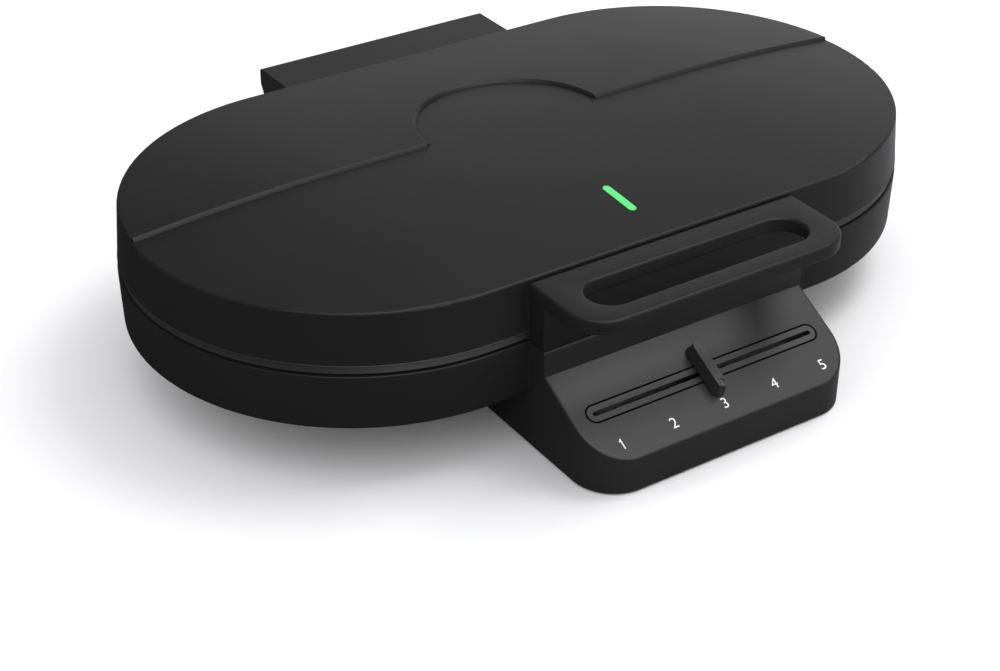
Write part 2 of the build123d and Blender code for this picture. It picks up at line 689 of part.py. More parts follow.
def post_ring(z_from, z_to, radius, mode=Mode.ADD):
    """Round posts at the plate screws, between two heights."""
    with BuildSketch(level(z_from)) as posts:
        with Locations(*plate_screw_places()):
            Circle(radius)
    extrude(posts.sketch, amount=z_to - z_from, mode=mode)


def console_screw_places():
    """Screws that tie the console's sole to the bowl."""
    return [(x, -CONSOLE_SCREW_Y) for x in (-CONSOLE_SCREW_X, 0, CONSOLE_SCREW_X)]


def board_screw_places():
    """Corners of the control board."""
    reach_x = BOARD_LENGTH / 2 - BOARD_EDGE
    reach_y = BOARD_WIDTH / 2 - BOARD_EDGE
    return [(BOARD_X + sx * reach_x, sy * reach_y) for sx in LEFT_RIGHT for sy in LEFT_RIGHT]


def front_foot_places():
    return [(side * FRONT_FOOT_X, FRONT_FOOT_SETBACK - CONSOLE_FRONT) for side in LEFT_RIGHT]


def handle_screw_places():
    return [(x, 0) for x in (-HANDLE_SCREW_X, 0, HANDLE_SCREW_X)]


def lamp_pin_places():
    return [(0, -LIGHT_Y + side * LAMP_PIN_AT) for side in LEFT_RIGHT]


def clamp_screw_places():
    return [(side * CLAMP_SCREW_X, CLAMP_Y) for side in LEFT_RIGHT]


def cord_disc(radius, y_from, y_to, mode=Mode.ADD):
    """A cylinder round the cord's line, between two distances from the casing's middle line."""
    with BuildSketch(Plane(origin=(0, BODY_Y + y_from, CORD_Z), x_dir=(1, 0, 0), z_dir=(0, -1, 0))) as disc:
        Circle(radius)
    extrude(disc.sketch, amount=y_from - y_to, mode=mode)


def drill(plane, places, radius, depth):
    """Blind round holes along a plane's normal."""
    with BuildSketch(plane) as holes:
        with Locations(*places):
            Circle(radius)
    extrude(holes.sketch, amount=depth, mode=Mode.SUBTRACT)


def screw(plane, places, shank, length, head, head_height):
    """Pan-head screws: heads outside the plane, shanks along its normal."""
    with BuildPart() as screws:
        with BuildSketch(plane) as heads:
            with Locations(*places):
                Circle(head)
        extrude(heads.sketch, amount=-head_height)
        with BuildSketch(plane) as shanks:
            with Locations(*places):
                Circle(shank)
        extrude(shanks.sketch, amount=length)
        with BuildSketch(plane.offset(-head_height)) as drives:
            with Locations(*places):
                Rectangle(2 * shank, shank / 2)
                Rectangle(shank / 2, 2 * shank)
        extrude(drives.sketch, amount=head_height / 2, mode=Mode.SUBTRACT)
    return screws


base_floor = BASE_CLEAR + SHELL_WALL
post_top = PART_Z - PLATE_BOSS_DEPTH
seat_in = wall_in - SEAT_WIDTH

with BuildPart() as bowl_outside:
    around_casing(lambda: base_half(0))

with BuildPart() as base_shell:
    add(bowl_outside.part)
    around_casing(lambda: base_half(SHELL_WALL), mode=Mode.SUBTRACT)
    around_casing(
        ring_section(
            (seat_in, lower_foot),
            (RADIUS - SHELL_WALL / 2, lower_foot),
            (RADIUS - SHELL_WALL / 2, lower_foot - SEAT_DEPTH),
            (seat_in, lower_foot - SEAT_THICKNESS),
        )
    )
    with BuildPart(mode=Mode.PRIVATE) as posts:
        post_ring(BASE_CLEAR, post_top, POST_RADIUS)
        add(bowl_outside.part, mode=Mode.INTERSECT)
    add(posts.part)
    with BuildSketch(level(base_floor - SHELL_WALL / 2)) as screw_posts:
        with Locations(*console_screw_places()):
            Circle(POST_RADIUS)
    extrude(screw_posts.sketch, amount=CONSOLE_POST_HEIGHT + SHELL_WALL / 2)
    with BuildSketch(level(base_floor - SHELL_WALL / 2)) as standoffs:
        with Locations(*board_screw_places()):
            Circle(STANDOFF_RADIUS)
    extrude(standoffs.sketch, amount=BOARD_STANDOFF + SHELL_WALL / 2)
    with BuildSketch(level(base_floor - SHELL_WALL / 2)) as clamp_seat:
        with Locations((0, CLAMP_Y)):
            Rectangle(CLAMP_LENGTH, CLAMP_WIDTH)
    extrude(clamp_seat.sketch, amount=CORD_Z - base_floor + SHELL_WALL / 2)
    ear_y = RADIUS + AXIS_OUT
    for side in LEFT_RIGHT:
        inner_x = HINGE_HALF_WIDTH + EAR_GAP
        start_x = inner_x if side > 0 else -inner_x - EAR_THICKNESS
        with BuildSketch(side_view(start_x)) as ear:
            outline(
                (RADIUS - SHELL_WALL / 2, SEAM_Z - EAR_SHOULDER),
                (ear_y - KNUCKLE_RADIUS, SEAM_Z - EAR_SHOULDER),
                (ear_y - KNUCKLE_RADIUS, HINGE_Z),
                (ear_y + KNUCKLE_RADIUS, HINGE_Z),
                (ear_y + KNUCKLE_RADIUS, HINGE_Z - KNUCKLE_RADIUS),
                (RADIUS - EAR_FOOT_INSET, SEAM_Z - EAR_FOOT),
            )
            with Locations((ear_y, HINGE_Z)):
                Circle(KNUCKLE_RADIUS)
                Circle(PIN_RADIUS, mode=Mode.SUBTRACT)
        extrude(ear.sketch, amount=EAR_THICKNESS)
    cord_disc(COLLAR_RADIUS, RADIUS, RADIUS - COLLAR_DEPTH)
    cord_disc(GROMMET_SLEEVE, RADIUS, CLAMP_Y + CLAMP_WIDTH / 2, Mode.SUBTRACT)
    cord_disc(CORD_RADIUS, RADIUS, CLAMP_Y - CLAMP_WIDTH / 2, Mode.SUBTRACT)
    post_ring(post_top - SCREW_BITE, post_top, SCREW_RADIUS, Mode.SUBTRACT)
    drill(level(BASE_CLEAR), console_screw_places(), SCREW_RADIUS, CONSOLE_POST_HEIGHT)
    drill(level(base_floor + BOARD_STANDOFF - SMALL_SCREW_BITE), board_screw_places(), SMALL_SCREW_RADIUS, SMALL_SCREW_BITE)
    drill(level(CORD_Z - SCREW_BITE), clamp_screw_places(), SCREW_RADIUS, SCREW_BITE)
    with BuildSketch(level(BASE_CLEAR)) as seats:
        with Locations((-REAR_FOOT_X, REAR_FOOT_Y), (REAR_FOOT_X, REAR_FOOT_Y)):
            Circle(FOOT_RADIUS)
    extrude(seats.sketch, amount=FOOT_SEAT, mode=Mode.SUBTRACT)
    with BuildSketch(level(BASE_CLEAR)) as vents:
        for side in LEFT_RIGHT:
            with Locations((side * VENT_X, 0)):
                with GridLocations(0, VENT_PITCH, 1, VENT_COUNT):
                    SlotOverall(VENT_LENGTH, VENT_WIDTH)
    extrude(vents.sketch, amount=SHELL_WALL, mode=Mode.SUBTRACT)
    with BuildSketch(Plane.XZ.offset(-BODY_Y + RADIUS)) as wire_way:
        with Locations((0, WIRE_WAY_Z)):
            SlotOverall(WIRE_WAY_LENGTH, WIRE_WAY_HEIGHT)
    extrude(wire_way.sketch, amount=-BASE_ROUND_REACH, mode=Mode.SUBTRACT)

save(base_shell, "base_shell")


# Base: what stands inside it

with BuildPart() as temperature_sensor:
    seat = reflector_z - REFLECTOR_SHEET
    with BuildSketch(level(seat)):
        with Locations((0, -SENSOR_Y)):
            Circle(SENSOR_FLANGE)
    extrude(amount=-SENSOR_FLANGE_HEIGHT)
    with BuildSketch(level(seat)):
        with Locations((0, -SENSOR_Y)):
            Circle(SENSOR_RADIUS)
    extrude(amount=PART_Z - FLANGE - seat)
    with BuildSketch(level(seat - SENSOR_FLANGE_HEIGHT)):
        with Locations((0, -SENSOR_Y)):
            with GridLocations(SENSOR_RADIUS, 0, 2, 1):
                Circle(LEAD_RADIUS)
    extrude(amount=-LEAD_LENGTH)

with BuildPart() as lower_thermal_fuse:
    with Locations((-FUSE_X, BODY_Y + FUSE_Y, reflector_z - REFLECTOR_SHEET - FUSE_HEIGHT / 2)):
        Box(FUSE_LENGTH, FUSE_WIDTH, FUSE_HEIGHT)
        with BuildPart(mode=Mode.PRIVATE) as lead:
            Cylinder(LEAD_RADIUS, FUSE_LENGTH + 2 * LEAD_LENGTH, rotation=(0, 90, 0))
        add(lead.part)

with BuildPart() as upper_thermal_fuse:
    add(mirror(lower_thermal_fuse.part, about=level(PART_Z), mode=Mode.PRIVATE))

board_z = base_floor + BOARD_STANDOFF
with BuildPart() as control_board:
    with BuildSketch(level(board_z)):
        with Locations((BOARD_X, 0)):
            Rectangle(BOARD_LENGTH, BOARD_WIDTH)
        with Locations(*board_screw_places()):
            Circle(SMALL_SCREW_RADIUS, mode=Mode.SUBTRACT)
    extrude(amount=BOARD_THICKNESS)

with BuildPart() as power_relay:
    with Locations((BOARD_X, BODY_Y, board_z + BOARD_THICKNESS + RELAY_HEIGHT / 2)):
        Box(RELAY_LENGTH, RELAY_WIDTH, RELAY_HEIGHT)
    chamfer(power_relay.faces().sort_by(Axis.Z)[-1].edges(), SMALL_SCREW_RADIUS / 2)

board_screws = screw(
    level(board_z + BOARD_THICKNESS).rotated((180, 0, 0)),
    [(x, -y) for x, y in board_screw_places()],
    SMALL_SCREW_RADIUS,
    BOARD_THICKNESS + SMALL_SCREW_BITE,
    SMALL_HEAD_RADIUS,
    SMALL_HEAD_HEIGHT,
)

with BuildPart() as terminal_block:
    with Locations((0, BODY_Y + TERMINAL_BLOCK_Y, base_floor + TERMINAL_BLOCK_HEIGHT / 2)):
        Box(TERMINAL_BLOCK_LENGTH, TERMINAL_BLOCK_WIDTH, TERMINAL_BLOCK_HEIGHT)
    with BuildSketch(level(base_floor + TERMINAL_BLOCK_HEIGHT)):
        with Locations((0, TERMINAL_BLOCK_Y)):
            with GridLocations(TERMINAL_BLOCK_LENGTH / 3, TERMINAL_BLOCK_WIDTH / 2, 3, 2):
                Rectangle(TERMINAL_BLOCK_WIDTH / 4, TERMINAL_BLOCK_WIDTH / 4)
    extrude(amount=-TERMINAL_BLOCK_HEIGHT / 3, mode=Mode.SUBTRACT)

with BuildPart() as cord_clamp:
    with BuildSketch(level(CORD_Z)):
        with Locations((0, CLAMP_Y)):
            Rectangle(CLAMP_LENGTH, CLAMP_WIDTH)
    extrude(amount=CLAMP_HEIGHT)
    cord_disc(CORD_RADIUS, CLAMP_Y + CLAMP_WIDTH / 2, CLAMP_Y - CLAMP_WIDTH / 2, Mode.SUBTRACT)
    drill(level(CORD_Z), clamp_screw_places(), SCREW_RADIUS, CLAMP_HEIGHT)

cord_clamp_screws = screw(
    level(CORD_Z + CLAMP_HEIGHT).rotated((180, 0, 0)),
    [(x, -y) for x, y in clamp_screw_places()],
    SCREW_RADIUS,
    CLAMP_HEIGHT + SCREW_BITE,
    SCREW_HEAD_RADIUS,
    SCREW_HEAD_RADIUS / 2,
)

with BuildPart() as cord_grommet:
    cord_disc(GROMMET_FLANGE, RADIUS + GROMMET_HEAD, RADIUS)
    cord_disc(GROMMET_SLEEVE, RADIUS, RADIUS + GROMMET_HEAD - GROMMET_LENGTH)
    cord_disc(GROMMET_LIP, RADIUS - COLLAR_DEPTH, RADIUS + GROMMET_HEAD - GROMMET_LENGTH)
    cord_disc(CORD_RADIUS, RADIUS + GROMMET_HEAD, RADIUS + GROMMET_HEAD - GROMMET_LENGTH, Mode.SUBTRACT)
    chamfer(cord_grommet.faces().sort_by(Axis.Y)[-1].edges().sort_by(SortBy.LENGTH)[-1], GROMMET_HEAD / 3)

with BuildPart() as hinge_pins:
    for side in LEFT_RIGHT:
        start = side * (HINGE_HALF_WIDTH - BUSH_LENGTH + PIN_SHORT)
        with BuildSketch(Plane(origin=(start, HINGE_Y, HINGE_Z), x_dir=(0, 1, 0), z_dir=(side, 0, 0))) as pin:
            Circle(PIN_RADIUS)
        extrude(pin.sketch, amount=BUSH_LENGTH - PIN_SHORT + EAR_GAP + EAR_THICKNESS + PIN_PROUD)

save(temperature_sensor, "temperature_sensor")
save(lower_thermal_fuse, "lower_thermal_fuse")
save(upper_thermal_fuse, "upper_thermal_fuse")
save(control_board, "control_board")
save(power_relay, "power_relay")
save(board_screws, "board_screws")
save(terminal_block, "terminal_block")
save(cord_clamp, "cord_clamp")
save(cord_clamp_screws, "cord_clamp_screws")
save(cord_grommet, "cord_grommet")
save(hinge_pins, "hinge_pins")


# Console housing

def cover_screw_places():
    return [(side * COVER_SCREW_X, -y) for side in LEFT_RIGHT for y in COVER_SCREW_Y]


console_top = SEAM_Z - CONSOLE_DROP
lip_z = PANEL_TOP_Z - PANEL_LENGTH * math.sin(SLOPE)
cover_z = CONSOLE_CLEAR + COVER_THICKNESS
wall = CONSOLE_WALL
wall_slope = wall * math.tan(SLOPE / 2)
with BuildPart() as console_housing:
    with BuildSketch(side_view(-CONSOLE_HALF_WIDTH)) as outside:
        outline(
            (-CONSOLE_BACK, CONSOLE_CLEAR),
            (-CONSOLE_FRONT, CONSOLE_CLEAR),
            (-CONSOLE_FRONT, lip_z),
            (-CONSOLE_FACE, PANEL_TOP_Z),
            (-CONSOLE_FACE, console_top),
            (-CONSOLE_BACK, console_top),
        )
    extrude(outside.sketch, amount=2 * CONSOLE_HALF_WIDTH)
    corners = console_housing.edges().filter_by(Axis.Z).group_by(Axis.Y)[0]
    fillet(corners, CONSOLE_CORNER)
    rims = console_housing.edges().filter_by(lambda e: e.center().Z > CONSOLE_CLEAR + CONSOLE_EDGE)
    rims = rims.filter_by(lambda e: e.center().Y < BODY_Y - RADIUS)
    rims = rims.filter_by(lambda e: abs(e.tangent_at(0).Z) < 0.99)
    fillet(rims.filter_by(lambda e: abs(e.center().Z - PANEL_TOP_Z) > CONSOLE_EDGE), CONSOLE_EDGE)
    with BuildSketch(side_view(-CONSOLE_HALF_WIDTH + wall)) as inside:
        outline(
            (-CONSOLE_SOLE, 0),
            (-CONSOLE_FRONT + wall, 0),
            (-CONSOLE_FRONT + wall, lip_z - wall_slope),
            (-CONSOLE_FACE + wall, PANEL_TOP_Z - wall / math.cos(SLOPE) + wall * math.tan(SLOPE)),
            (-CONSOLE_FACE + wall, console_top - wall),
            (-CONSOLE_SOLE, console_top - wall),
        )
    with BuildPart(mode=Mode.PRIVATE) as cavity:
        extrude(inside.sketch, amount=2 * (CONSOLE_HALF_WIDTH - wall))
        fillet(cavity.edges().filter_by(Axis.Z).group_by(Axis.Y)[0], CONSOLE_CORNER - wall)
    add(cavity.part, mode=Mode.SUBTRACT)
    with BuildSketch(level(cover_z)) as cover_posts:
        with Locations(*cover_screw_places()):
            Circle(POST_RADIUS)
    extrude(cover_posts.sketch, amount=COVER_POST_HEIGHT)
    for side in LEFT_RIGHT:
        for x in (-HOOK_X, HOOK_X):
            with BuildSketch(Plane(origin=on_panel(0).from_local_coords((x - HOOK_LENGTH / 2, 0, 0)), x_dir=on_panel(0).y_dir, z_dir=(1, 0, 0))) as hook:
                out = TRACK_WIDTH / 2 + TRIM_FIT
                outline(
                    (side * out, -wall / 2),
                    (side * (out + HOOK_THICKNESS), -wall / 2),
                    (side * (out + HOOK_THICKNESS), -track_floor - HOOK_THICKNESS),
                    (side * (out - HOOK_REACH), -track_floor - HOOK_THICKNESS),
                    (side * (out - HOOK_REACH), -track_floor),
                    (side * out, -track_floor),
                )
            extrude(hook.sketch, amount=HOOK_LENGTH)
    add(bowl_outside.part, mode=Mode.SUBTRACT)
    with BuildSketch(on_panel(TRIM_FLANGE)) as trim_hole:
        SlotOverall(2 * (TRIM_HALF_LENGTH + TRIM_FIT), TRIM_WIDTH + 2 * TRIM_FIT)
    extrude(trim_hole.sketch, amount=-TRIM_FLANGE - wall, mode=Mode.SUBTRACT)
    drill(level(cover_z), cover_screw_places(), SCREW_RADIUS, SCREW_BITE)
    drill(level(CONSOLE_CLEAR), console_screw_places(), SCREW_RADIUS, wall)
    with BuildSketch(level(CONSOLE_CLEAR)) as head_seats:
        with Locations(*console_screw_places()):
            Circle(SCREW_HEAD_RADIUS + TRIM_FIT)
    extrude(head_seats.sketch, amount=wall / 2, mode=Mode.SUBTRACT)
    with BuildSketch(Plane.XZ.offset(-BODY_Y + RADIUS)) as wires:
        with Locations((0, WIRE_WAY_Z)):
            SlotOverall(WIRE_WAY_LENGTH, WIRE_WAY_HEIGHT)
    extrude(wires.sketch, amount=-BASE_ROUND_REACH / 2, mode=Mode.SUBTRACT)

with BuildPart() as console_cover:
    back = CONSOLE_SOLE + COVER_FIT
    front = CONSOLE_FRONT - wall - COVER_FIT
    half = CONSOLE_HALF_WIDTH - wall - COVER_FIT
    with BuildSketch(level(CONSOLE_CLEAR)) as cover:
        outline((-half, -front), (half, -front), (half, -back), (-half, -back))
        fillet(cover.vertices().group_by(Axis.Y)[0], CONSOLE_CORNER - wall - COVER_FIT)
    extrude(amount=COVER_THICKNESS)
    with BuildSketch(level(CONSOLE_CLEAR)):
        with Locations(*front_foot_places()):
            Circle(FOOT_RADIUS)
    extrude(amount=FOOT_SEAT, mode=Mode.SUBTRACT)
    drill(level(CONSOLE_CLEAR), cover_screw_places(), SCREW_RADIUS, COVER_THICKNESS)
    with BuildSketch(level(CONSOLE_CLEAR)) as head_seats:
        with Locations(*cover_screw_places()):
            Circle(SCREW_HEAD_RADIUS + TRIM_FIT)
    extrude(head_seats.sketch, amount=COVER_THICKNESS / 2, mode=Mode.SUBTRACT)

console_screws = screw(
    level(CONSOLE_CLEAR + wall / 2),
    console_screw_places(),
    SCREW_RADIUS,
    wall / 2 + SHELL_WALL + CONSOLE_POST_HEIGHT / 2,
    SCREW_HEAD_RADIUS,
    wall / 2 - TRIM_FIT,
)

cover_screws = screw(
    level(CONSOLE_CLEAR + COVER_THICKNESS / 2),
    cover_screw_places(),
    SCREW_RADIUS,
    COVER_THICKNESS / 2 + SCREW_BITE,
    SCREW_HEAD_RADIUS,
    COVER_THICKNESS / 2 - TRIM_FIT,
)

with BuildPart() as rubber_feet:
    with BuildSketch():
        with Locations((-REAR_FOOT_X, BODY_Y + REAR_FOOT_Y), (REAR_FOOT_X, BODY_Y + REAR_FOOT_Y)):
            Circle(FOOT_RADIUS)
    extrude(amount=BASE_CLEAR + FOOT_SEAT)
    with BuildSketch():
        with Locations(*[(x, BODY_Y + y) for x, y in front_foot_places()]):
            Circle(FOOT_RADIUS)
    extrude(amount=CONSOLE_CLEAR + FOOT_SEAT)

save(console_housing, "console_housing")
save(console_cover, "console_cover")
save(console_screws, "console_screws")
save(cover_screws, "cover_screws")
save(rubber_feet, "rubber_feet")


# Slider: trim, track, carriage and knob

with BuildPart() as slot_trim:
    with BuildSketch(on_panel(0)):
        SlotOverall(2 * TRIM_HALF_LENGTH, TRIM_WIDTH)
    extrude(amount=-wall)
    with BuildSketch(on_panel(-wall)):
        SlotOverall(2 * TRIM_HALF_LENGTH + TRIM_LIP, TRACK_WIDTH)
    extrude(amount=-TRIM_FLANGE)
    with BuildSketch(on_panel(0)):
        SlotOverall(2 * slot_half, SLOT_WIDTH)
    extrude(amount=-wall - TRIM_FLANGE, mode=Mode.SUBTRACT)

with BuildPart() as slide_track:
    with BuildSketch(on_panel(-wall - TRIM_FLANGE)):
        Rectangle(2 * TRIM_HALF_LENGTH, TRACK_WIDTH)
    extrude(amount=-TRACK_HEIGHT)
    with BuildSketch(on_panel(-wall - TRIM_FLANGE)):
        Rectangle(2 * (TRIM_HALF_LENGTH - TRACK_WALL), TRACK_WIDTH - 2 * TRACK_WALL)
    extrude(amount=-TRACK_HEIGHT + TRACK_WALL, mode=Mode.SUBTRACT)

wiper_low = -track_floor + TRACK_WALL + RUNNING_GAP
with BuildPart() as slider_carriage:
    with BuildSketch(on_panel(wiper_low)):
        Rectangle(WIPER_LENGTH, TRACK_WIDTH - 2 * TRACK_WALL - 2 * WIPER_SIDE_GAP)
    extrude(amount=WIPER_HEIGHT)
    with BuildSketch(on_panel(wiper_low + WIPER_HEIGHT)):
        Rectangle(TANG_LENGTH, TANG_THICKNESS)
    extrude(amount=KNOB_LIFT + SOCKET_DEPTH - wiper_low - WIPER_HEIGHT)

with BuildPart() as slider_knob:
    with BuildSketch(on_panel(KNOB_LIFT)):
        SlotOverall(KNOB_LENGTH, KNOB_WIDTH, rotation=90)
    extrude(amount=KNOB_HEIGHT, taper=KNOB_DRAFT)
    with BuildSketch(on_panel(KNOB_LIFT + KNOB_HEIGHT)):
        with Locations((0, -KNOB_LENGTH / 2 + DIMPLE_INSET)):
            Circle(KNOB_DIMPLE_RADIUS)
    extrude(amount=-DIMPLE_DEPTH, mode=Mode.SUBTRACT)
    with BuildSketch(on_panel(KNOB_LIFT)):
        Rectangle(TANG_LENGTH, TANG_THICKNESS)
    extrude(amount=SOCKET_DEPTH, mode=Mode.SUBTRACT)

save(slot_trim, "slot_trim")
save(slide_track, "slide_track")
save(slider_carriage, "slider_carriage")
save(slider_knob, "slider_knob")


# Lid shell

def lid_half(inset, lift):
    """Half section of the lid, inset from its outer face, its top lifted."""
    rim_r = RIM_RADIUS - LID_LEAN * lift - inset
    rim_z = RIM_Z + lift - inset
    rise = CROWN_Z - RIM_Z
    bend = (rim_r ** 2 + rise ** 2) / (2 * rise)
    turn = math.asin(rim_r / bend) / 2
    middle = (bend * math.sin(turn), rim_z + rise - bend * (1 - math.cos(turn)))
    with BuildLine() as edge:
        ThreePointArc((0, rim_z + rise), middle, (rim_r, rim_z))
        Line((rim_r, rim_z), (RADIUS - inset, LID_EDGE_Z))
        if inset == 0:
            fillet(edge.vertices().sort_by_distance((rim_r, rim_z))[0], RIM_FILLET)
        Polyline((RADIUS - inset, LID_EDGE_Z), (0, LID_EDGE_Z), (0, rim_z + rise))
    make_face(edge.edges())


def lid_wall_at(height):
    """Distance of the lid's outer face from the spine at a height above the table."""
    return RADIUS - LID_LEAN * (height - LID_EDGE_Z)


with BuildPart() as lid_low:
    around_casing(lambda: lid_half(0, 0))

with BuildPart() as lid_raised:
    around_casing(lambda: lid_half(0, REAR_STEP))
    with BuildSketch(level(LID_EDGE_Z)) as field:
        with Locations((0, REAR_STEP_Y + RADIUS)):
            Rectangle(4 * RADIUS, 2 * RADIUS)
        with Locations((0, BADGE_Y)):
            Circle(BADGE_RADIUS, mode=Mode.SUBTRACT)
    extrude(field.sketch, amount=2 * LID_CROWN_HEIGHT, mode=Mode.INTERSECT)

with BuildPart() as lid_inside:
    around_casing(lambda: lid_half(SHELL_WALL, 0))

axis_y = RADIUS + AXIS_OUT
block_top = SEAM_Z + HINGE_TOP
block_floor = SEAM_Z + HINGE_FLOOR
lid_post_foot = PART_Z + PLATE_BOSS_DEPTH
screw_z = SEAM_Z + HANDLE_SCREW_Z
light_base = CROWN_Z - SHELL_WALL - LIGHT_BASE_DROP - LIGHT_FLANGE
with BuildPart() as lid_shell:
    add(lid_low.part)
    add(lid_raised.part)
    with BuildPart(mode=Mode.PRIVATE) as block:
        with BuildSketch(side_view(-HINGE_HALF_WIDTH)) as block_side:
            outline(
                (RADIUS - EAR_GAP, block_floor),
                (RADIUS - EAR_GAP, LID_EDGE_Z),
                (lid_wall_at(block_top) - SHELL_WALL / 2, LID_EDGE_Z),
                (lid_wall_at(block_top) - SHELL_WALL / 2, block_top),
                (HINGE_BACK, block_top),
                (HINGE_BACK, block_top - HINGE_UPRIGHT),
                (HINGE_BACK - HINGE_SLANT, block_floor),
            )
        extrude(block_side.sketch, amount=2 * HINGE_HALF_WIDTH)
        fillet(block.edges().filter_by(Axis.X).group_by(Axis.Z)[-1].sort_by(Axis.Y)[-1], HINGE_ROUND)
        pocket_x = HINGE_HALF_WIDTH - BUSH_LENGTH - HINGE_WALL
        with BuildSketch(side_view(-pocket_x)) as pocket:
            outline(
                (lid_wall_at(block_top) + HINGE_WALL, 0),
                (lid_wall_at(block_top) + HINGE_WALL, block_top - HINGE_WALL),
                (HINGE_BACK - HINGE_WALL, block_top - HINGE_WALL),
                (HINGE_BACK - HINGE_WALL, block_top - HINGE_UPRIGHT),
                (HINGE_BACK - HINGE_SLANT - HINGE_WALL, block_floor),
                (HINGE_BACK - HINGE_SLANT - HINGE_WALL, 0),
            )
        extrude(pocket.sketch, amount=2 * pocket_x, mode=Mode.SUBTRACT)
        for side in LEFT_RIGHT:
            with BuildSketch(Plane(origin=(side * HINGE_HALF_WIDTH, HINGE_Y, HINGE_Z), x_dir=(0, 1, 0), z_dir=(-side, 0, 0))) as knuckle:
                Circle(KNUCKLE_RADIUS)
            extrude(knuckle.sketch, amount=BUSH_LENGTH + HINGE_WALL)
            with BuildSketch(Plane(origin=(side * HINGE_HALF_WIDTH, HINGE_Y, HINGE_Z), x_dir=(0, 1, 0), z_dir=(-side, 0, 0))) as bore:
                Circle(bush_out)
            extrude(bore.sketch, amount=BUSH_LENGTH, mode=Mode.SUBTRACT)
    add(block.part)
    add(lid_inside.part, mode=Mode.SUBTRACT)
    ledge_high = upper_top + 2 * LID_LEDGE_THICKNESS
    around_casing(
        ring_section(
            (RADIUS - LID_LEDGE_IN, upper_top),
            (lid_wall_at(upper_top) - SHELL_WALL / 2, upper_top),
            (lid_wall_at(ledge_high) - SHELL_WALL / 2, ledge_high),
            (RADIUS - LID_LEDGE_IN, upper_top + LID_LEDGE_THICKNESS),
        )
    )
    post_ring(lid_post_foot, RIM_Z, POST_RADIUS)
    post_ring(lid_post_foot, lid_post_foot + SCREW_BITE, SCREW_RADIUS, Mode.SUBTRACT)
    front_wall = Plane(origin=(0, BODY_Y - RADIUS + LID_LEDGE_IN + FRAME_FIT, screw_z), x_dir=(1, 0, 0), z_dir=(0, -1, 0))
    with BuildSketch(front_wall) as pads:
        with Locations(*handle_screw_places()):
            Circle(PAD_RADIUS)
    extrude(pads.sketch, amount=PAD_HEIGHT)
    drill(front_wall, handle_screw_places(), SCREW_RADIUS, LID_LEDGE_IN + SHELL_WALL)
    with BuildPart(mode=Mode.PRIVATE) as lamp_posts:
        with BuildSketch(level(light_base)) as post_plan:
            with Locations(*lamp_pin_places()):
                Circle(STANDOFF_RADIUS)
        extrude(post_plan.sketch, amount=LID_CROWN_HEIGHT)
        add(lid_low.part, mode=Mode.INTERSECT)
    add(lamp_posts.part)
    with BuildSketch(level(light_base)) as lamp_hole:
        with Locations((0, -LIGHT_Y)):
            SlotOverall(LIGHT_LENGTH + 2 * LIGHT_FIT, LIGHT_WIDTH + 2 * LIGHT_FIT, rotation=90)
    extrude(lamp_hole.sketch, amount=LID_CROWN_HEIGHT, mode=Mode.SUBTRACT)

save(lid_shell, "lid_shell")


# Lid: handle, light and hinge bushes

handle_top = SEAM_Z + HANDLE_TOP
handle_under = handle_top - HANDLE_PLATE
handle_front = RADIUS + HANDLE_REACH
handle_foot = SEAM_Z + HANDLE_LIFT
leg_front = RADIUS + HANDLE_LEG
with BuildPart() as lid_handle:
    with BuildSketch(side_view(-HANDLE_HALF_WIDTH)) as side_shape:
        outline(
            (-RADIUS, handle_foot),
            (-RADIUS, LID_EDGE_Z),
            (-lid_wall_at(handle_top), handle_top),
            (-handle_front, handle_top),
            (-handle_front, handle_under),
            (-leg_front, handle_under),
            (-leg_front, handle_foot),
        )
    extrude(side_shape.sketch, amount=2 * HANDLE_HALF_WIDTH)
    fillet(lid_handle.edges().filter_by(Axis.Z).group_by(Axis.Y)[0], HANDLE_CORNER)
    throat = lid_handle.edges().filter_by(Axis.X).sort_by_distance((0, BODY_Y - leg_front, handle_under))[0]
    fillet(throat, HANDLE_INNER_FILLET)
    with BuildSketch(level(handle_top)) as grip:
        with Locations((0, -handle_front + GRIP_SLOT_SETBACK + GRIP_SLOT_WIDTH / 2)):
            SlotOverall(GRIP_SLOT_LENGTH, GRIP_SLOT_WIDTH)
    extrude(grip.sketch, amount=-HANDLE_PLATE - HANDLE_INNER_FILLET, mode=Mode.SUBTRACT)
    top_face = lid_handle.faces().filter_by(Axis.Z).sort_by(Axis.Z)[-1]
    under_face = lid_handle.faces().filter_by(Axis.Z).sort_by_distance((0, BODY_Y - handle_front, handle_under))[0]
    fillet(top_face.edges(), HANDLE_EDGE)
    drill(front_wall, handle_screw_places(), SCREW_RADIUS, LID_LEDGE_IN + HANDLE_SCREW_BITE)

handle_screws = screw(
    front_wall,
    handle_screw_places(),
    SCREW_RADIUS,
    LID_LEDGE_IN + HANDLE_SCREW_BITE,
    SCREW_HEAD_RADIUS,
    SCREW_HEAD_RADIUS / 2,
)

with BuildPart() as indicator_lens:
    with BuildPart(mode=Mode.PRIVATE) as above:
        add(lid_low.part.moved(Location((0, 0, LIGHT_PROUD))))
    with BuildSketch(level(light_base)) as bar:
        with Locations((0, -LIGHT_Y)):
            SlotOverall(LIGHT_LENGTH, LIGHT_WIDTH, rotation=90)
    extrude(bar.sketch, amount=LID_CROWN_HEIGHT)
    add(above.part, mode=Mode.INTERSECT)
    with BuildPart(mode=Mode.PRIVATE) as lip:
        with BuildSketch(level(light_base)) as lip_plan:
            with Locations((0, -LIGHT_Y)):
                SlotOverall(LIGHT_LENGTH + 2 * LIGHT_FLANGE, LIGHT_WIDTH + 2 * LIGHT_FLANGE, rotation=90)
        extrude(lip_plan.sketch, amount=LID_CROWN_HEIGHT)
        add(lid_inside.part, mode=Mode.INTERSECT)
    add(lip.part)

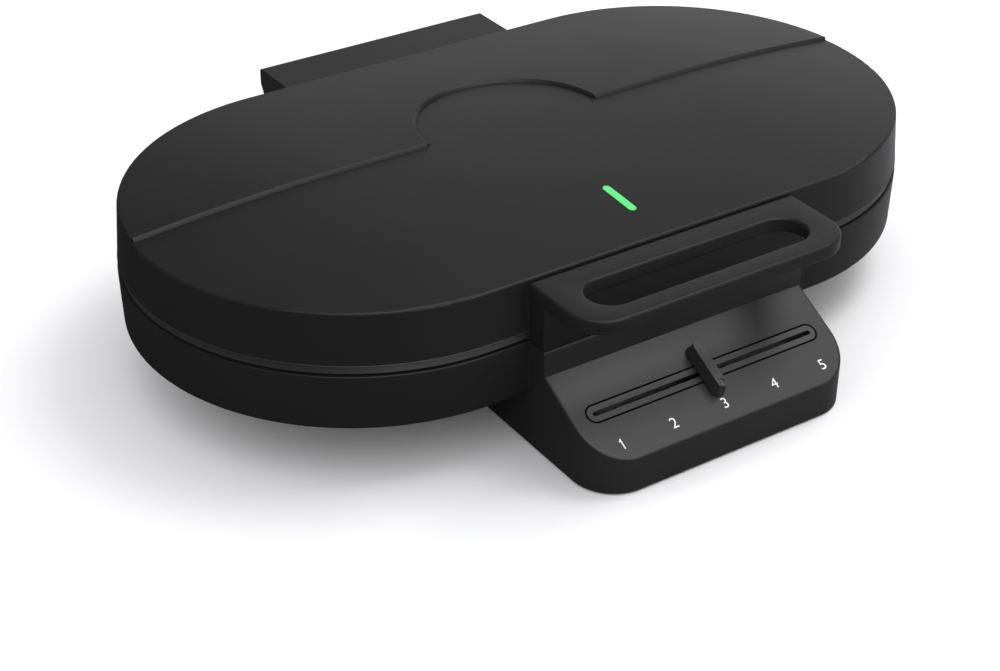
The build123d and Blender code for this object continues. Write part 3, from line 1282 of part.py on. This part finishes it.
with BuildPart() as indicator_board:
    with BuildSketch(level(light_base)) as lamp_board:
        with Locations((0, -LIGHT_Y)):
            Rectangle(LAMP_BOARD_WIDTH, LAMP_BOARD_LENGTH)
    extrude(lamp_board.sketch, amount=-BOARD_THICKNESS)

with BuildPart() as hinge_bushes:
    for side in LEFT_RIGHT:
        with BuildSketch(Plane(origin=(side * HINGE_HALF_WIDTH, HINGE_Y, HINGE_Z), x_dir=(0, 1, 0), z_dir=(-side, 0, 0))) as bush:
            Circle(bush_out)
            Circle(PIN_RADIUS + PIN_RUNNING_GAP, mode=Mode.SUBTRACT)
        extrude(bush.sketch, amount=BUSH_LENGTH)

save(lid_handle, "lid_handle")
save(handle_screws, "handle_screws")
save(indicator_lens, "indicator_lens")
save(indicator_board, "indicator_board")
save(hinge_bushes, "hinge_bushes")
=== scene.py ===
import math

import bmesh
import bpy
from mathutils import Matrix, Vector


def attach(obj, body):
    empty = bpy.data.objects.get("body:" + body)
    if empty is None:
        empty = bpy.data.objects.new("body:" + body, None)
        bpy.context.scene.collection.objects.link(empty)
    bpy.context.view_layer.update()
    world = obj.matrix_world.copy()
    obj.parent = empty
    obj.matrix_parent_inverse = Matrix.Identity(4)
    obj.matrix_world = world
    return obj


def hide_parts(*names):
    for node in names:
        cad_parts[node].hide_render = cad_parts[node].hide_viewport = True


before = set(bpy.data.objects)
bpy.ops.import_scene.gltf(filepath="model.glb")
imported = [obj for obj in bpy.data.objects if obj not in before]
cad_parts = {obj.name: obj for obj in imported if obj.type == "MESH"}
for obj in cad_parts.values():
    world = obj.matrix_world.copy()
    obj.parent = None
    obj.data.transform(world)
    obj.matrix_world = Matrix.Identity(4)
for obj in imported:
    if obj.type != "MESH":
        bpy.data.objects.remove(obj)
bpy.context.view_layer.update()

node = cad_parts
MM = 0.001

# Places of the part, in millimetres, as in the solids
BODY_Y = 9.975
CASING_FRONT = 99.4
SEAM_Z = 48.4
# y and z of the panel's upper edge
PANEL_TOP = (BODY_Y - CASING_FRONT - 9.9, 36.7)
PANEL_SLOPE = math.radians(28.0)


def socket_value(target, value):
    """Sets a socket to a number or a colour, or links it."""
    if isinstance(value, Wire):
        value.tree.links.new(value.socket, target)
    elif isinstance(value, (tuple, list)):
        room = len(target.default_value)
        padded = tuple(value) + (1.0,)
        target.default_value = padded[:room]
    else:
        target.default_value = value


class Wire:
    """An output of a node. Sums and products of wires add Math nodes."""

    def __init__(self, tree, socket):
        self.tree = tree
        self.socket = socket

    def math(self, operation, first, second=None):
        made = self.tree.nodes.new("ShaderNodeMath")
        made.operation = operation
        socket_value(made.inputs[0], first)
        if second is not None:
            socket_value(made.inputs[1], second)
        return Wire(self.tree, made.outputs[0])

    def __add__(self, other):
        return self.math("ADD", self, other)

    def __radd__(self, other):
        return self.math("ADD", other, self)

    def __sub__(self, other):
        return self.math("SUBTRACT", self, other)

    def __rsub__(self, other):
        return self.math("SUBTRACT", other, self)

    def __mul__(self, other):
        return self.math("MULTIPLY", self, other)

    def __rmul__(self, other):
        return self.math("MULTIPLY", other, self)

    def __truediv__(self, other):
        return self.math("DIVIDE", self, other)

    def clamp(self):
        kept = self.math("MAXIMUM", self, 0.0)
        return kept.math("MINIMUM", kept, 1.0)


class Nodes:
    """A node tree, of a material or of the world."""

    def __init__(self, tree):
        self.tree = tree

    def add(self, kind, settings=None, out=0, **inputs):
        """Adds a node: its settings first, then its sockets, by name or as i with a number."""
        made = self.tree.nodes.new(kind)
        for key, value in (settings or {}).items():
            setattr(made, key, value)
        for key, value in inputs.items():
            name = key.replace("_", " ")
            index = int(key[1:]) if key[0] == "i" and key[1:].isdigit() else name
            socket_value(made.inputs[index], value)
        return Wire(self.tree, made.outputs[out])

    def blend(self, factor, first, second):
        return self.add(
            "ShaderNodeMix", {"data_type": "RGBA"}, out=2, i0=factor, i6=first, i7=second
        )


class Finish(Nodes):
    """A material with one Principled shader."""

    def __init__(self, name, color, roughness, **constants):
        self.material = bpy.data.materials.new(name)
        self.material.use_nodes = True
        super().__init__(self.material.node_tree)
        self.shader = self.tree.nodes["Principled BSDF"]
        self.shader.inputs["Base Color"].default_value = (*color, 1.0)
        self.shader.inputs["Roughness"].default_value = roughness
        for key, value in constants.items():
            socket_value(self.shader.inputs[key.replace("_", " ")], value)

    def place(self):
        return self.add("ShaderNodeTexCoord", out="Object")

    def noise(self, scale, detail=2.0, roughness=0.5):
        return self.add(
            "ShaderNodeTexNoise", Vector=self.place(), Scale=scale, Detail=detail, Roughness=roughness
        )

    def feed(self, name, value):
        socket_value(self.shader.inputs[name], value)

    def bump(self, height, distance, strength):
        normal = self.add("ShaderNodeBump", Strength=strength, Distance=distance, Height=height)
        self.feed("Normal", normal)


def grey(level):
    """A grey with a trace of blue."""
    return (level, level, level * 1.02)


def moulded(name, level, roughness, gloss=0.12, grain=1.0):
    """Matt black plastic from a finely eroded mould."""
    made = Finish(name, grey(level), roughness, Specular_IOR_Level=gloss)
    fine = made.noise(2600.0, 3.0, 0.6)
    broad = made.noise(22.0, 3.0, 0.55)
    made.feed("Base Color", made.blend(broad, grey(level * 0.93), grey(level * 1.07)))
    made.feed("Roughness", roughness - 0.05 + broad * 0.08 + fine * 0.03)
    made.bump(fine, 0.00004 * grain, 0.35)
    return made.material


def wear(obj, material):
    """Gives an object one material."""
    obj.data.materials.clear()
    obj.data.materials.append(material)


casing = moulded("casing_black", 0.0135, 0.38, 0.13)
console_black = moulded("console_black", 0.018, 0.40, 0.24)
trim_black = moulded("trim_black", 0.023, 0.38, 0.26, 0.6)
frame_resin = moulded("frame_resin", 0.012, 0.42, 0.2, 0.8)
# Painted sheen: the upper frame's seam band gets a lighter grey than the lower frame, for the light it
# catches.
seam_painted_sheen = moulded("seam_painted_sheen", 0.027, 0.32, 0.30, 0.5)
# Painted highlight: a lighter grey for the thin line along the lid wall's lower edge.
edge_painted_highlight = moulded("edge_painted_highlight", 0.03, 0.34, 0.28, 0.5)
# Painted shade: a near-black for the band that stands for the shade in the gap round the slot's trim.
gap_painted_shade = moulded("gap_painted_shade", 0.0015, 0.6, 0.02, 0.5)


def coated(name):
    """Dark non-stick coat on a cast plate: fine sparkle and a soft gloss."""
    made = Finish(name, grey(0.028), 0.34)
    speck = made.noise(5200.0, 2.0, 0.7)
    fleck = ((speck - 0.62) * 9.0).clamp()
    soft = made.noise(60.0, 3.0, 0.5)
    made.feed("Base Color", made.blend(fleck, grey(0.026), grey(0.10)))
    made.feed("Roughness", 0.28 + soft * 0.14)
    made.bump(speck, 0.00002, 0.4)
    return made.material


def sheet_metal(name, color, roughness):
    """Rolled or plated metal with a faint drawn grain."""
    made = Finish(name, color, roughness, Metallic=1.0)
    stretched = made.add(
        "ShaderNodeMapping", {"vector_type": "POINT"}, Vector=made.place(), Scale=(0.06, 1.0, 1.0)
    )
    grain = made.add("ShaderNodeTexNoise", Vector=stretched, Scale=900.0, Detail=3.0)
    made.feed("Roughness", roughness - 0.08 + grain * 0.16)
    made.bump(grain, 0.00002, 0.3)
    return made.material


def soft_rubber(name):
    """Matt black rubber."""
    made = Finish(name, grey(0.018), 0.75)
    fine = made.noise(900.0, 3.0, 0.6)
    made.feed("Roughness", 0.68 + fine * 0.14)
    made.bump(fine, 0.00004, 0.4)
    return made.material


def board_lacquer(name):
    """Green circuit board lacquer with the tracks showing through."""
    made = Finish(name, (0.02, 0.16, 0.06), 0.3)
    tracks = made.add("ShaderNodeTexBrick", out="Fac", Vector=made.place(), Scale=180.0)
    made.feed("Base Color", made.blend(tracks, (0.02, 0.15, 0.06), (0.03, 0.24, 0.10)))
    return made.material


def resin(name, color, roughness):
    """A coloured plastic with a fine grain."""
    made = Finish(name, color, roughness)
    fine = made.noise(700.0, 3.0, 0.6)
    made.feed("Roughness", roughness - 0.05 + fine * 0.1)
    made.bump(fine, 0.00003, 0.3)
    return made.material


def lit_lens(name):
    """The indicator's lens with its green light on."""
    made = Finish(name, (0.02, 0.12, 0.04), 0.35, Specular_IOR_Level=0.2)
    cloud = made.noise(240.0, 2.0, 0.5)
    made.feed("Emission Color", made.blend(cloud, (0.10, 0.78, 0.20), (0.13, 0.86, 0.25)))
    made.shader.inputs["Emission Strength"].default_value = 0.92
    return made.material


plate_coat = coated("plate_coat")
steel = sheet_metal("zinc_steel", (0.55, 0.55, 0.56), 0.38)
sheath = sheet_metal("element_sheath", (0.30, 0.28, 0.26), 0.5)
aluminium = sheet_metal("reflector_sheet", (0.72, 0.72, 0.73), 0.3)
brass = sheet_metal("bush_brass", (0.65, 0.45, 0.18), 0.35)
rubber = soft_rubber("rubber")
board_green = board_lacquer("board_lacquer")
relay_blue = resin("relay_case", (0.03, 0.12, 0.40), 0.35)
terminal_white = resin("terminal_resin", (0.72, 0.71, 0.66), 0.4)
lens = lit_lens("indicator_lens")

finishes = {
    casing: ["base_shell", "lid_shell", "lid_handle"],
    console_black: ["console_housing", "console_cover"],
    trim_black: ["slot_trim", "slider_knob", "slider_carriage"],
    frame_resin: ["lower_plate_frame", "cord_clamp"],
    seam_painted_sheen: ["upper_plate_frame"],
    plate_coat: ["lower_baking_plate", "upper_baking_plate"],
    sheath: ["lower_heating_element", "upper_heating_element"],
    aluminium: ["lower_reflector", "upper_reflector"],
    brass: ["hinge_bushes"],
    rubber: ["rubber_feet", "cord_grommet"],
    board_green: ["control_board", "indicator_board"],
    relay_blue: ["power_relay"],
    terminal_white: ["terminal_block"],
    lens: ["indicator_lens"],
}
for material, names in finishes.items():
    for name in names:
        wear(node[name], material)
dressed = {name for names in finishes.values() for name in names}
for name in sorted(set(node) - dressed):
    wear(node[name], steel)


# Base shell: a nearly upright wall, an underside that slopes in, a heel and two ears for the hinge
HALF_STRAIGHT = 80.6
WALL_TOP, WALL_FOOT = 99.8, 99.3
FOOT_Z = 25.0
FLOOR_Z, FLOOR_REACH = 3.3, 61.7
FLOOR_INNER_REACH = 20.0
SHELL = 2.6
MOUTH_REACH = 97.0


def rounded(corners, rounds, parts=5):
    """Corners with the given roundings, each drawn as a few points."""
    out = []
    for i, (here, r) in enumerate(zip(corners, rounds)):
        if not r:
            out.append(here)
            continue
        p, q, n = Vector(corners[i - 1]), Vector(here), Vector(corners[(i + 1) % len(corners)])
        a, b = (p - q).normalized(), (n - q).normalized()
        half = a.angle(b) / 2
        run = r / math.tan(half)
        middle = q + (a + b).normalized() * (r / math.sin(half))
        first, last = q + a * run - middle, q + b * run - middle
        for k in range(parts + 1):
            turned = first.slerp(last, k / parts).normalized() * r
            out.append(tuple(middle + turned))
    return out


def shape(name, places, faces, material, body, sharp):
    """A piece from places in millimetres and faces; edges past an angle stay sharp."""
    mesh = bpy.data.meshes.new(name)
    mesh.from_pydata([tuple(c * MM for c in point) for point in places], [], faces)
    form = bmesh.new()
    form.from_mesh(mesh)
    bmesh.ops.remove_doubles(form, verts=form.verts, dist=1e-7)
    bmesh.ops.recalc_face_normals(form, faces=form.faces)
    for face in form.faces:
        face.smooth = True
    for edge in form.edges:
        edge.smooth = len(edge.link_faces) == 2 and edge.calc_face_angle() < math.radians(sharp)
    form.to_mesh(mesh)
    form.free()
    made = bpy.data.objects.new(name, mesh)
    made.data.materials.append(material)
    bpy.context.scene.collection.objects.link(made)
    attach(made, body)
    return made


def loft(rows):
    """Points and faces of a closed form from equal closed rows, with flat ends."""
    size = len(rows[0])
    faces = [tuple(range(size)), tuple((len(rows) - 1) * size + k for k in range(size))]
    for r in range(len(rows) - 1):
        for k in range(size):
            n = (k + 1) % size
            faces.append((r * size + k, r * size + n, (r + 1) * size + n, (r + 1) * size + k))
    return [point for row in rows for point in row], faces


def casing_ring(reach, z, parts=72):
    """A level ring round the casing, at a distance from the line through its end centres."""
    ring = []
    for side, start in ((1, -90), (-1, 90)):
        for k in range(parts + 1):
            turn = math.radians(start + 180 * k / parts)
            x = side * HALF_STRAIGHT + reach * math.cos(turn)
            ring.append((x, BODY_Y + reach * math.sin(turn), z))
    return ring


outer = rounded(
    [
        (MOUTH_REACH, SEAM_Z),
        (WALL_TOP, SEAM_Z),
        (WALL_FOOT, FOOT_Z),
        (FLOOR_REACH, FLOOR_Z),
        (FLOOR_INNER_REACH, FLOOR_Z),
    ],
    [0, 0.6, 1.8, 10.0, 0],
)
inner = [
    (FLOOR_INNER_REACH, FLOOR_Z + SHELL),
    (FLOOR_REACH - 1, FLOOR_Z + SHELL),
    (MOUTH_REACH - 0.4, FOOT_Z + 1.2),
    (MOUTH_REACH, SEAM_Z),
]
# From the inner floor over the mouth to the outer floor, so the flat ends are the two floors
points, faces = loft([casing_ring(reach, z) for reach, z in inner + outer])
bowl = shape("base_bowl", points, faces, casing, "base", 25.0)
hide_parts("base_shell")


def block_ring(half_x, y_from, y_to, corner, z, parts=6):
    """A level rounded rectangle behind the casing's middle line."""
    ring = []
    for cx, cy, start in (
        (half_x - corner, y_to - corner, 0),
        (corner - half_x, y_to - corner, 90),
        (corner - half_x, y_from + corner, 180),
        (half_x - corner, y_from + corner, 270),
    ):
        for k in range(parts + 1):
            turn = math.radians(start + 90 * k / parts)
            ring.append((cx + corner * math.cos(turn), BODY_Y + cy + corner * math.sin(turn), z))
    return ring


HEEL_HALF, HEEL_FROM, HEEL_TO, HEEL_CORNER = 66.0, 52.0, 99.0, 6.0
heel_rows = [
    block_ring(HEEL_HALF - inset, HEEL_FROM + inset, HEEL_TO - inset, HEEL_CORNER - inset, z)
    for inset, z in ((1.4, 3.2), (0.9, 3.3), (0.4, 3.7), (0.1, 4.2), (0.0, 4.8), (0.0, 27.0))
]
points, faces = loft(heel_rows)
shape("base_heel", points, faces, casing, "base", 30.0)

# Hinge ears: y behind the casing's middle, and z
HINGE_OUT, HINGE_UP, KNUCKLE = 112.2, 51.2, 7.0
EAR_ROOT, EAR_TOP = 96.0, SEAM_Z - 0.4
EAR_IN, EAR_OUT = 60.0, 66.5
ear_side = [(EAR_ROOT, EAR_TOP), (HINGE_OUT - KNUCKLE, EAR_TOP), (HINGE_OUT - KNUCKLE, HINGE_UP)]
for k in range(1, 19):
    turn = math.radians(180 - 10 * k)
    ear_side.append((HINGE_OUT + KNUCKLE * math.cos(turn), HINGE_UP + KNUCKLE * math.sin(turn)))
ear_side += [(HINGE_OUT + KNUCKLE, HINGE_UP - KNUCKLE), (EAR_ROOT, 25.5)]
for side, name in ((-1, "base_ear_left"), (1, "base_ear_right")):
    rows = [[(side * x, BODY_Y + y, z) for y, z in ear_side] for x in (EAR_IN, EAR_OUT)]
    points, faces = loft(rows)
    ear = shape(name, points, faces, casing, "base", 30.0)
    eased = ear.modifiers.new("eased_edges", "BEVEL")
    eased.width = 0.5 * MM
    eased.segments = 2
    eased.limit_method = "ANGLE"
    eased.angle_limit = math.radians(35.0)

# The console's root under the bowl, a little narrower than the console
ROOT_HALF = 63.95
root_side = [
    (-98.5, 24.4),
    (-FLOOR_REACH, 3.1),
    (-FLOOR_REACH, 0.9),
    (-74.0, 0.9),
    (-82.0, 3.0),
    (-90.0, 8.0),
    (-96.0, 19.0),
]
points, faces = loft([[(x, BODY_Y + y, z) for y, z in root_side] for x in (-ROOT_HALF, ROOT_HALF)])
shape("console_root", points, faces, console_black, "base", 30.0)


def corner_bead(name, x, low, high, radius, side, material, body):
    """A concave blend in an upright corner: (y, z) of its lower and upper end on the wall."""
    rows = []
    for y, z in (low, high):
        row = [(x - side * 0.4, BODY_Y + y + 0.6, z)]
        for k in range(7):
            turn = math.radians(15 * k)
            out, back = radius * (1 - math.sin(turn)), radius * (1 - math.cos(turn))
            row.append((x + side * out, BODY_Y + y - back, z))
        rows.append(row)
    points, faces = loft(rows)
    shape(name, points, faces, material, body, 60.0)


# Beads where the grip's leg meets the lid, and the console the bowl
BEAD_X, BEAD_RADIUS = 63.98, 0.9
LEG_BEAD = ((-99.65, 49.4), (-97.72, 73.0))
BOWL_BEAD = ((-99.33, 25.6), (-99.74, 47.4))
for side, word in ((-1, "left"), (1, "right")):
    corner_bead("leg_bead_" + word, side * BEAD_X, *LEG_BEAD, BEAD_RADIUS, side, casing, "lid")
    corner_bead("bowl_bead_" + word, side * BEAD_X, *BOWL_BEAD, BEAD_RADIUS, side, casing, "base")


def tube(rows):
    """Points and faces of a closed ring from equal closed rows; the last row meets the first."""
    size = len(rows[0])
    faces = []
    for r in range(len(rows)):
        after = (r + 1) % len(rows)
        for k in range(size):
            n = (k + 1) % size
            faces.append((r * size + k, r * size + n, after * size + n, after * size + k))
    return [point for row in rows for point in row], faces


# Lid handle: a plate with the grip's slot, on an upright leg
HANDLE_HALF, HANDLE_FRONT, HANDLE_BACK = 64.5, -138.6, -98.4
HANDLE_TOP, HANDLE_THICK = 73.8, 6.2
HANDLE_CORNER, HANDLE_BACK_CORNER = 16.0, 0.8
HANDLE_TOP_EDGE, HANDLE_LOW_EDGE = 1.2, 0.8
SLOT_HALF, SLOT_REACH, SLOT_Y = 52.0, 9.75, -119.75
LEG_HALF, LEG_FRONT, LEG_BACK, LEG_CORNER, LEG_FOOT = HANDLE_HALF - 0.2, -109.3, -98.4, 0.9, 48.8


def handle_outline(inset, z):
    """The plate's outline, drawn inset: round corners in front, tight ones at the lid."""
    front, back = HANDLE_FRONT + inset, HANDLE_BACK - inset
    half, corner, tight = HANDLE_HALF - inset, HANDLE_CORNER - inset, HANDLE_BACK_CORNER
    outline = []
    for cx, cy, r, start in (
        (half - tight, back - tight, tight, 0),
        (tight - half, back - tight, tight, 90),
        (corner - half, front + corner, corner, 180),
        (half - corner, front + corner, corner, 270),
    ):
        for k in range(17):
            turn = math.radians(start + 90 * k / 16)
            outline.append((cx + r * math.cos(turn), cy + r * math.sin(turn)))
    return [(x, BODY_Y + y, z) for x, y in outline]


def slot_outline(spread, z):
    """The grip slot's outline, drawn larger by a spread."""
    reach = SLOT_REACH + spread
    outline = []
    for side, start, parts in ((1, 0, 17), (-1, 90, 34), (1, 270, 17)):
        for k in range(parts):
            turn = math.radians(start + 180 * k / 33 if parts == 34 else start + 90 * k / 16)
            x = side * (SLOT_HALF - SLOT_REACH) + reach * math.cos(turn)
            outline.append((x, SLOT_Y + reach * math.sin(turn)))
    return [(x, BODY_Y + y, z) for x, y in outline]


def edge_rows(outline, edge, z, rising, step, sign):
    """Outlines over a rounded edge: sign is 1 for the plate's top and -1 for its underside."""
    rows = []
    for turn in range(0, 91, step):
        bend = math.radians(turn)
        across, down = (math.sin(bend), math.cos(bend)) if rising else (math.cos(bend), math.sin(bend))
        rows.append(outline(edge * (1 - across), z - sign * edge * (1 - down)))
    return rows


low = HANDLE_TOP - HANDLE_THICK
rows = edge_rows(handle_outline, HANDLE_TOP_EDGE, HANDLE_TOP, True, 15, 1)
rows += edge_rows(handle_outline, HANDLE_LOW_EDGE, low, False, 30, -1)
rows += edge_rows(slot_outline, HANDLE_LOW_EDGE, low, True, 30, -1)
rows += edge_rows(slot_outline, HANDLE_TOP_EDGE, HANDLE_TOP, False, 15, 1)
points, faces = tube(rows)
plate = shape("handle_plate", points, faces, casing, "lid", 40.0)
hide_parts("lid_handle")
leg_rows = [
    block_ring(LEG_HALF - inset, LEG_FRONT + inset, LEG_BACK - inset, LEG_CORNER - inset, z)
    for inset, z in (
        (0.4, LEG_FOOT),
        (0.1, LEG_FOOT + 0.1),
        (0.0, LEG_FOOT + 0.4),
        (0.0, HANDLE_TOP - 3.0),
    )
]
points, faces = loft(leg_rows)
shape("handle_leg", points, faces, casing, "lid", 40.0)

# Bevel along the step between the lid's halves
STEP_Y, STEP_END, BADGE_REACH, BADGE_MIDDLE = 9.2, 176.5, 43.0, 7.7
BEVEL, BEVEL_ROOT = 1.7, 0.3
lid = node["lid_shell"]


def lid_height(x, y):
    """The lid's top at a place, in millimetres."""
    above = Vector((x, BODY_Y + y, 200.0)) * MM
    return lid.ray_cast(above, Vector((0.0, 0.0, -1.0)))[1].z / MM


def step_bevel(name, places):
    """A slope from the high half down to the low one, at places (x, y, downhill x, downhill y)."""
    rows = []
    for x, y, dx, dy in places:
        high = lid_height(x - BEVEL_ROOT * dx, y - BEVEL_ROOT * dy)
        low = lid_height(x + BEVEL * dx, y + BEVEL * dy)
        foot = (x + BEVEL * dx, BODY_Y + y + BEVEL * dy, low + 0.01)
        rows.append([
            (x, BODY_Y + y, high),
            foot,
            (foot[0], foot[1], low - 0.4),
            (x - BEVEL_ROOT * dx, BODY_Y + y - BEVEL_ROOT * dy, high - 1.0),
        ])
    points, faces = loft(rows)
    shape(name, points, faces, casing, "lid", 60.0)


span = math.sqrt(BADGE_REACH ** 2 - (STEP_Y - BADGE_MIDDLE) ** 2)
for side, word in ((-1, "left"), (1, "right")):
    run = [(side * (span + (STEP_END - span) * k / 24), STEP_Y, 0, -1) for k in range(25)]
    step_bevel("lid_step_" + word, run)
start = math.asin((STEP_Y - BADGE_MIDDLE) / BADGE_REACH)
arc = []
for k in range(49):
    turn = start + (math.pi - 2 * start) * k / 48
    out, up = math.cos(turn), math.sin(turn)
    arc.append((BADGE_REACH * out, BADGE_MIDDLE + BADGE_REACH * up, -out, -up))
step_bevel("lid_step_round", arc)

# Fine line along the lid wall's lower edge, a painted highlight: a thin bead in a lighter grey than
# the casing
LINE_REACH, LINE_Z, LINE_RADIUS = 99.3, 52.85, 0.22
rows = []
for k in range(8):
    turn = math.radians(45 * k)
    reach = LINE_REACH + LINE_RADIUS * math.cos(turn)
    rows.append(casing_ring(reach, LINE_Z + LINE_RADIUS * math.sin(turn)))
points, faces = tube(rows)
shape("lid_edge_line", points, faces, edge_painted_highlight, "lid", 60.0)


# Numerals on the panel
NUMERAL_DOWN = 36.3
NUMERAL_PITCH = 25.05
NUMERAL_HEIGHT = 4.6
NUMERAL_DEPTH = 0.02
DIGIT_SHARE = 0.70     # a digit's height as a share of the font's size


def on_panel(across, down=NUMERAL_DOWN):
    """A place on the panel, across it and down from its upper edge."""
    y = PANEL_TOP[0] - down * math.cos(PANEL_SLOPE)
    z = PANEL_TOP[1] - down * math.sin(PANEL_SLOPE)
    return Matrix.Translation(Vector((across, y, z)) * MM) @ Matrix.Rotation(PANEL_SLOPE, 4, "X")


ink = Finish("numeral_ink", (0.86, 0.86, 0.86), 0.5)
ink.feed("Roughness", 0.45 + ink.noise(900.0) * 0.1)
for step in range(1, 5):
    curve = bpy.data.curves.new("numeral_" + str(step + 1), "FONT")
    curve.body = str(step + 1)
    curve.align_x = "CENTER"
    curve.align_y = "CENTER"
    curve.size = NUMERAL_HEIGHT * MM / DIGIT_SHARE
    curve.extrude = NUMERAL_DEPTH * MM
    curve.materials.append(ink.material)
    mark = bpy.data.objects.new("numeral_" + str(step + 1), curve)
    bpy.context.scene.collection.objects.link(mark)
    mark.matrix_world = on_panel((step - 2) * NUMERAL_PITCH)
    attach(mark, "base")
# The one has a flag, which the font's lacks; its outline is in shares of the height
ONE = [
    (0.34, 0.0), (0.34, 1.0), (0.25, 1.0), (0.21, 0.87),
    (0.06, 0.79), (0.06, 0.70), (0.22, 0.73), (0.22, 0.0),
]
turned = on_panel(-2 * NUMERAL_PITCH)
rows = []
for height in (-NUMERAL_DEPTH, NUMERAL_DEPTH):
    row = []
    for x, y in ONE:
        flat = Vector(((x - 0.2) * NUMERAL_HEIGHT, (y - 0.5) * NUMERAL_HEIGHT, height))
        row.append(tuple(turned @ (flat * MM) / MM))
    rows.append(row)
points, faces = loft(rows)
shape("numeral_1", points, faces, ink.material, "base", 30.0)


# Painted shade round the slot's trim: a near-black band laid just over the panel where the fine gap is
TRIM_DOWN, TRIM_HALF, TRIM_REACH = 21.05, 56.6, 3.6
GAP_IN, GAP_OUT, GAP_RAISE = -0.2, 0.6, 0.05
turned = on_panel(0.0, TRIM_DOWN)
rows = []
for spread, height in ((GAP_IN, 0.0), (GAP_IN, GAP_RAISE), (GAP_OUT, GAP_RAISE), (GAP_OUT, 0.0)):
    reach = TRIM_REACH + spread
    row = []
    for side, start in ((1, -90), (-1, 90)):
        for k in range(25):
            turn = math.radians(start + 180 * k / 24)
            x = side * (TRIM_HALF - TRIM_REACH) + reach * math.cos(turn)
            flat = Vector((x, reach * math.sin(turn), height))
            row.append(tuple(turned @ (flat * MM) / MM))
    rows.append(row)
points, faces = tube(rows)
shape("trim_gap_painted_shade", points, faces, gap_painted_shade, "base", 60.0)


# Floor, light and camera
def plane(name, size):
    """A level square at the table's height."""
    mesh = bpy.data.meshes.new(name)
    h = size / 2
    mesh.from_pydata([(-h, -h, 0), (h, -h, 0), (h, h, 0), (-h, h, 0)], [], [(0, 1, 2, 3)])
    made = bpy.data.objects.new(name, mesh)
    bpy.context.scene.collection.objects.link(made)
    return made


# The floor's greys: what gloss sees at its left and right, what bounces, and what the camera sees
FLOOR_GLOSS = (0.03, 0.66)
FLOOR_BOUNCE = 0.60
FLOOR_SEEN = (0.96, 0.96, 0.96)
AMBIENT = 1.0
floor = plane("floor", 12.0)
paper = Finish("floor_paper", (FLOOR_BOUNCE, FLOOR_BOUNCE, FLOOR_BOUNCE), 0.9, Specular_IOR_Level=0.0)
camera_ray = paper.add("ShaderNodeLightPath", out="Is Camera Ray")
glossy_ray = paper.add("ShaderNodeLightPath", out="Is Glossy Ray")
along = paper.add("ShaderNodeSeparateXYZ", out=0, Vector=paper.place())
# Painted light and shade in reflections: as the gloss sees it, the floor is dark on the left and pale
# on the right.
lit_side = (along * 1.6 + 0.30).clamp()
in_gloss = paper.blend(lit_side, grey(FLOOR_GLOSS[0]), grey(FLOOR_GLOSS[1]))
bounced = paper.blend(glossy_ray, grey(FLOOR_BOUNCE), in_gloss)
paper.feed("Base Color", paper.blend(camera_ray, bounced, FLOOR_SEEN))
wear(floor, paper.material)

world = bpy.data.worlds.new("studio")
bpy.context.scene.world = world
world.use_nodes = True
studio = Nodes(world.node_tree)


def glow(azimuth, elevation, spread, strength):
    """A soft patch of light in the studio, seen in the gloss of the plastic."""
    turn, rise = math.radians(azimuth), math.radians(elevation)
    middle = (math.sin(turn) * math.cos(rise), math.cos(turn) * math.cos(rise), math.sin(rise))
    direction = studio.add("ShaderNodeTexCoord", out="Generated")
    facing = studio.add(
        "ShaderNodeVectorMath", {"operation": "DOT_PRODUCT"}, out="Value", i0=direction, i1=middle
    )
    edge = math.cos(math.radians(spread))
    near = ((facing - edge) / (1 - edge)).clamp()
    return near * near * (3.0 - 2.0 * near) * strength


gloss = (
    glow(50, 6, 40, 1.1)
    + glow(105, 66, 40, 0.7)
    + glow(185, 56, 50, 4.4)
    + glow(165, 10, 60, 1.1)
    + 0.05
)
camera_ray = studio.add("ShaderNodeLightPath", out="Is Camera Ray")
glossy_ray = studio.add("ShaderNodeLightPath", out="Is Glossy Ray")
lit = studio.blend(glossy_ray, grey(AMBIENT), gloss)
background = world.node_tree.nodes["Background"]
background.inputs["Strength"].default_value = 1.0
socket_value(background.inputs["Color"], studio.blend(camera_ray, lit, (1.0, 1.0, 1.0)))


def softbox(name, place, target, size, power):
    """A square lamp that faces a target, in metres and watts."""
    lamp = bpy.data.lights.new(name, "AREA")
    lamp.shape = "SQUARE"
    lamp.size = size
    lamp.energy = power
    made = bpy.data.objects.new(name, lamp)
    made.location = place
    made.rotation_euler = (Vector(target) - Vector(place)).to_track_quat("-Z", "Y").to_euler()
    bpy.context.scene.collection.objects.link(made)


softbox("key", (0.70, -0.10, 1.35), (0.0, 0.0, 0.05), 0.7, 8.0)

# The photograph's camera, solved from the casing's curves, the console and the grip
YAW, PITCH, ROLL = 0.586663, 0.566611, 0.005882
FOCAL_PIXELS, PHOTO_PIXELS = 1947.5, 1000.0
SENSOR = 36.0
CAMERA_PLACE = (-420.3, -604.72, 449.15)
level = math.cos(PITCH)
forward = Vector((math.sin(YAW) * level, math.cos(YAW) * level, -math.sin(PITCH)))
level_right = Vector((math.cos(YAW), -math.sin(YAW), 0.0))
level_up = level_right.cross(forward)
right = math.cos(ROLL) * level_right + math.sin(ROLL) * level_up
up = -math.sin(ROLL) * level_right + math.cos(ROLL) * level_up
lens_data = bpy.data.cameras.new("camera")
lens_data.sensor_width = SENSOR
lens_data.lens = SENSOR * FOCAL_PIXELS / PHOTO_PIXELS
lens_data.clip_start = 0.01
camera = bpy.data.objects.new("camera", lens_data)
turn = Matrix((right, up, -forward)).transposed().to_4x4()
camera.matrix_world = Matrix.Translation(Vector(CAMERA_PLACE) * MM) @ turn
bpy.context.scene.collection.objects.link(camera)
bpy.context.scene.camera = camera
bpy.context.scene.view_settings.view_transform = "Standard"
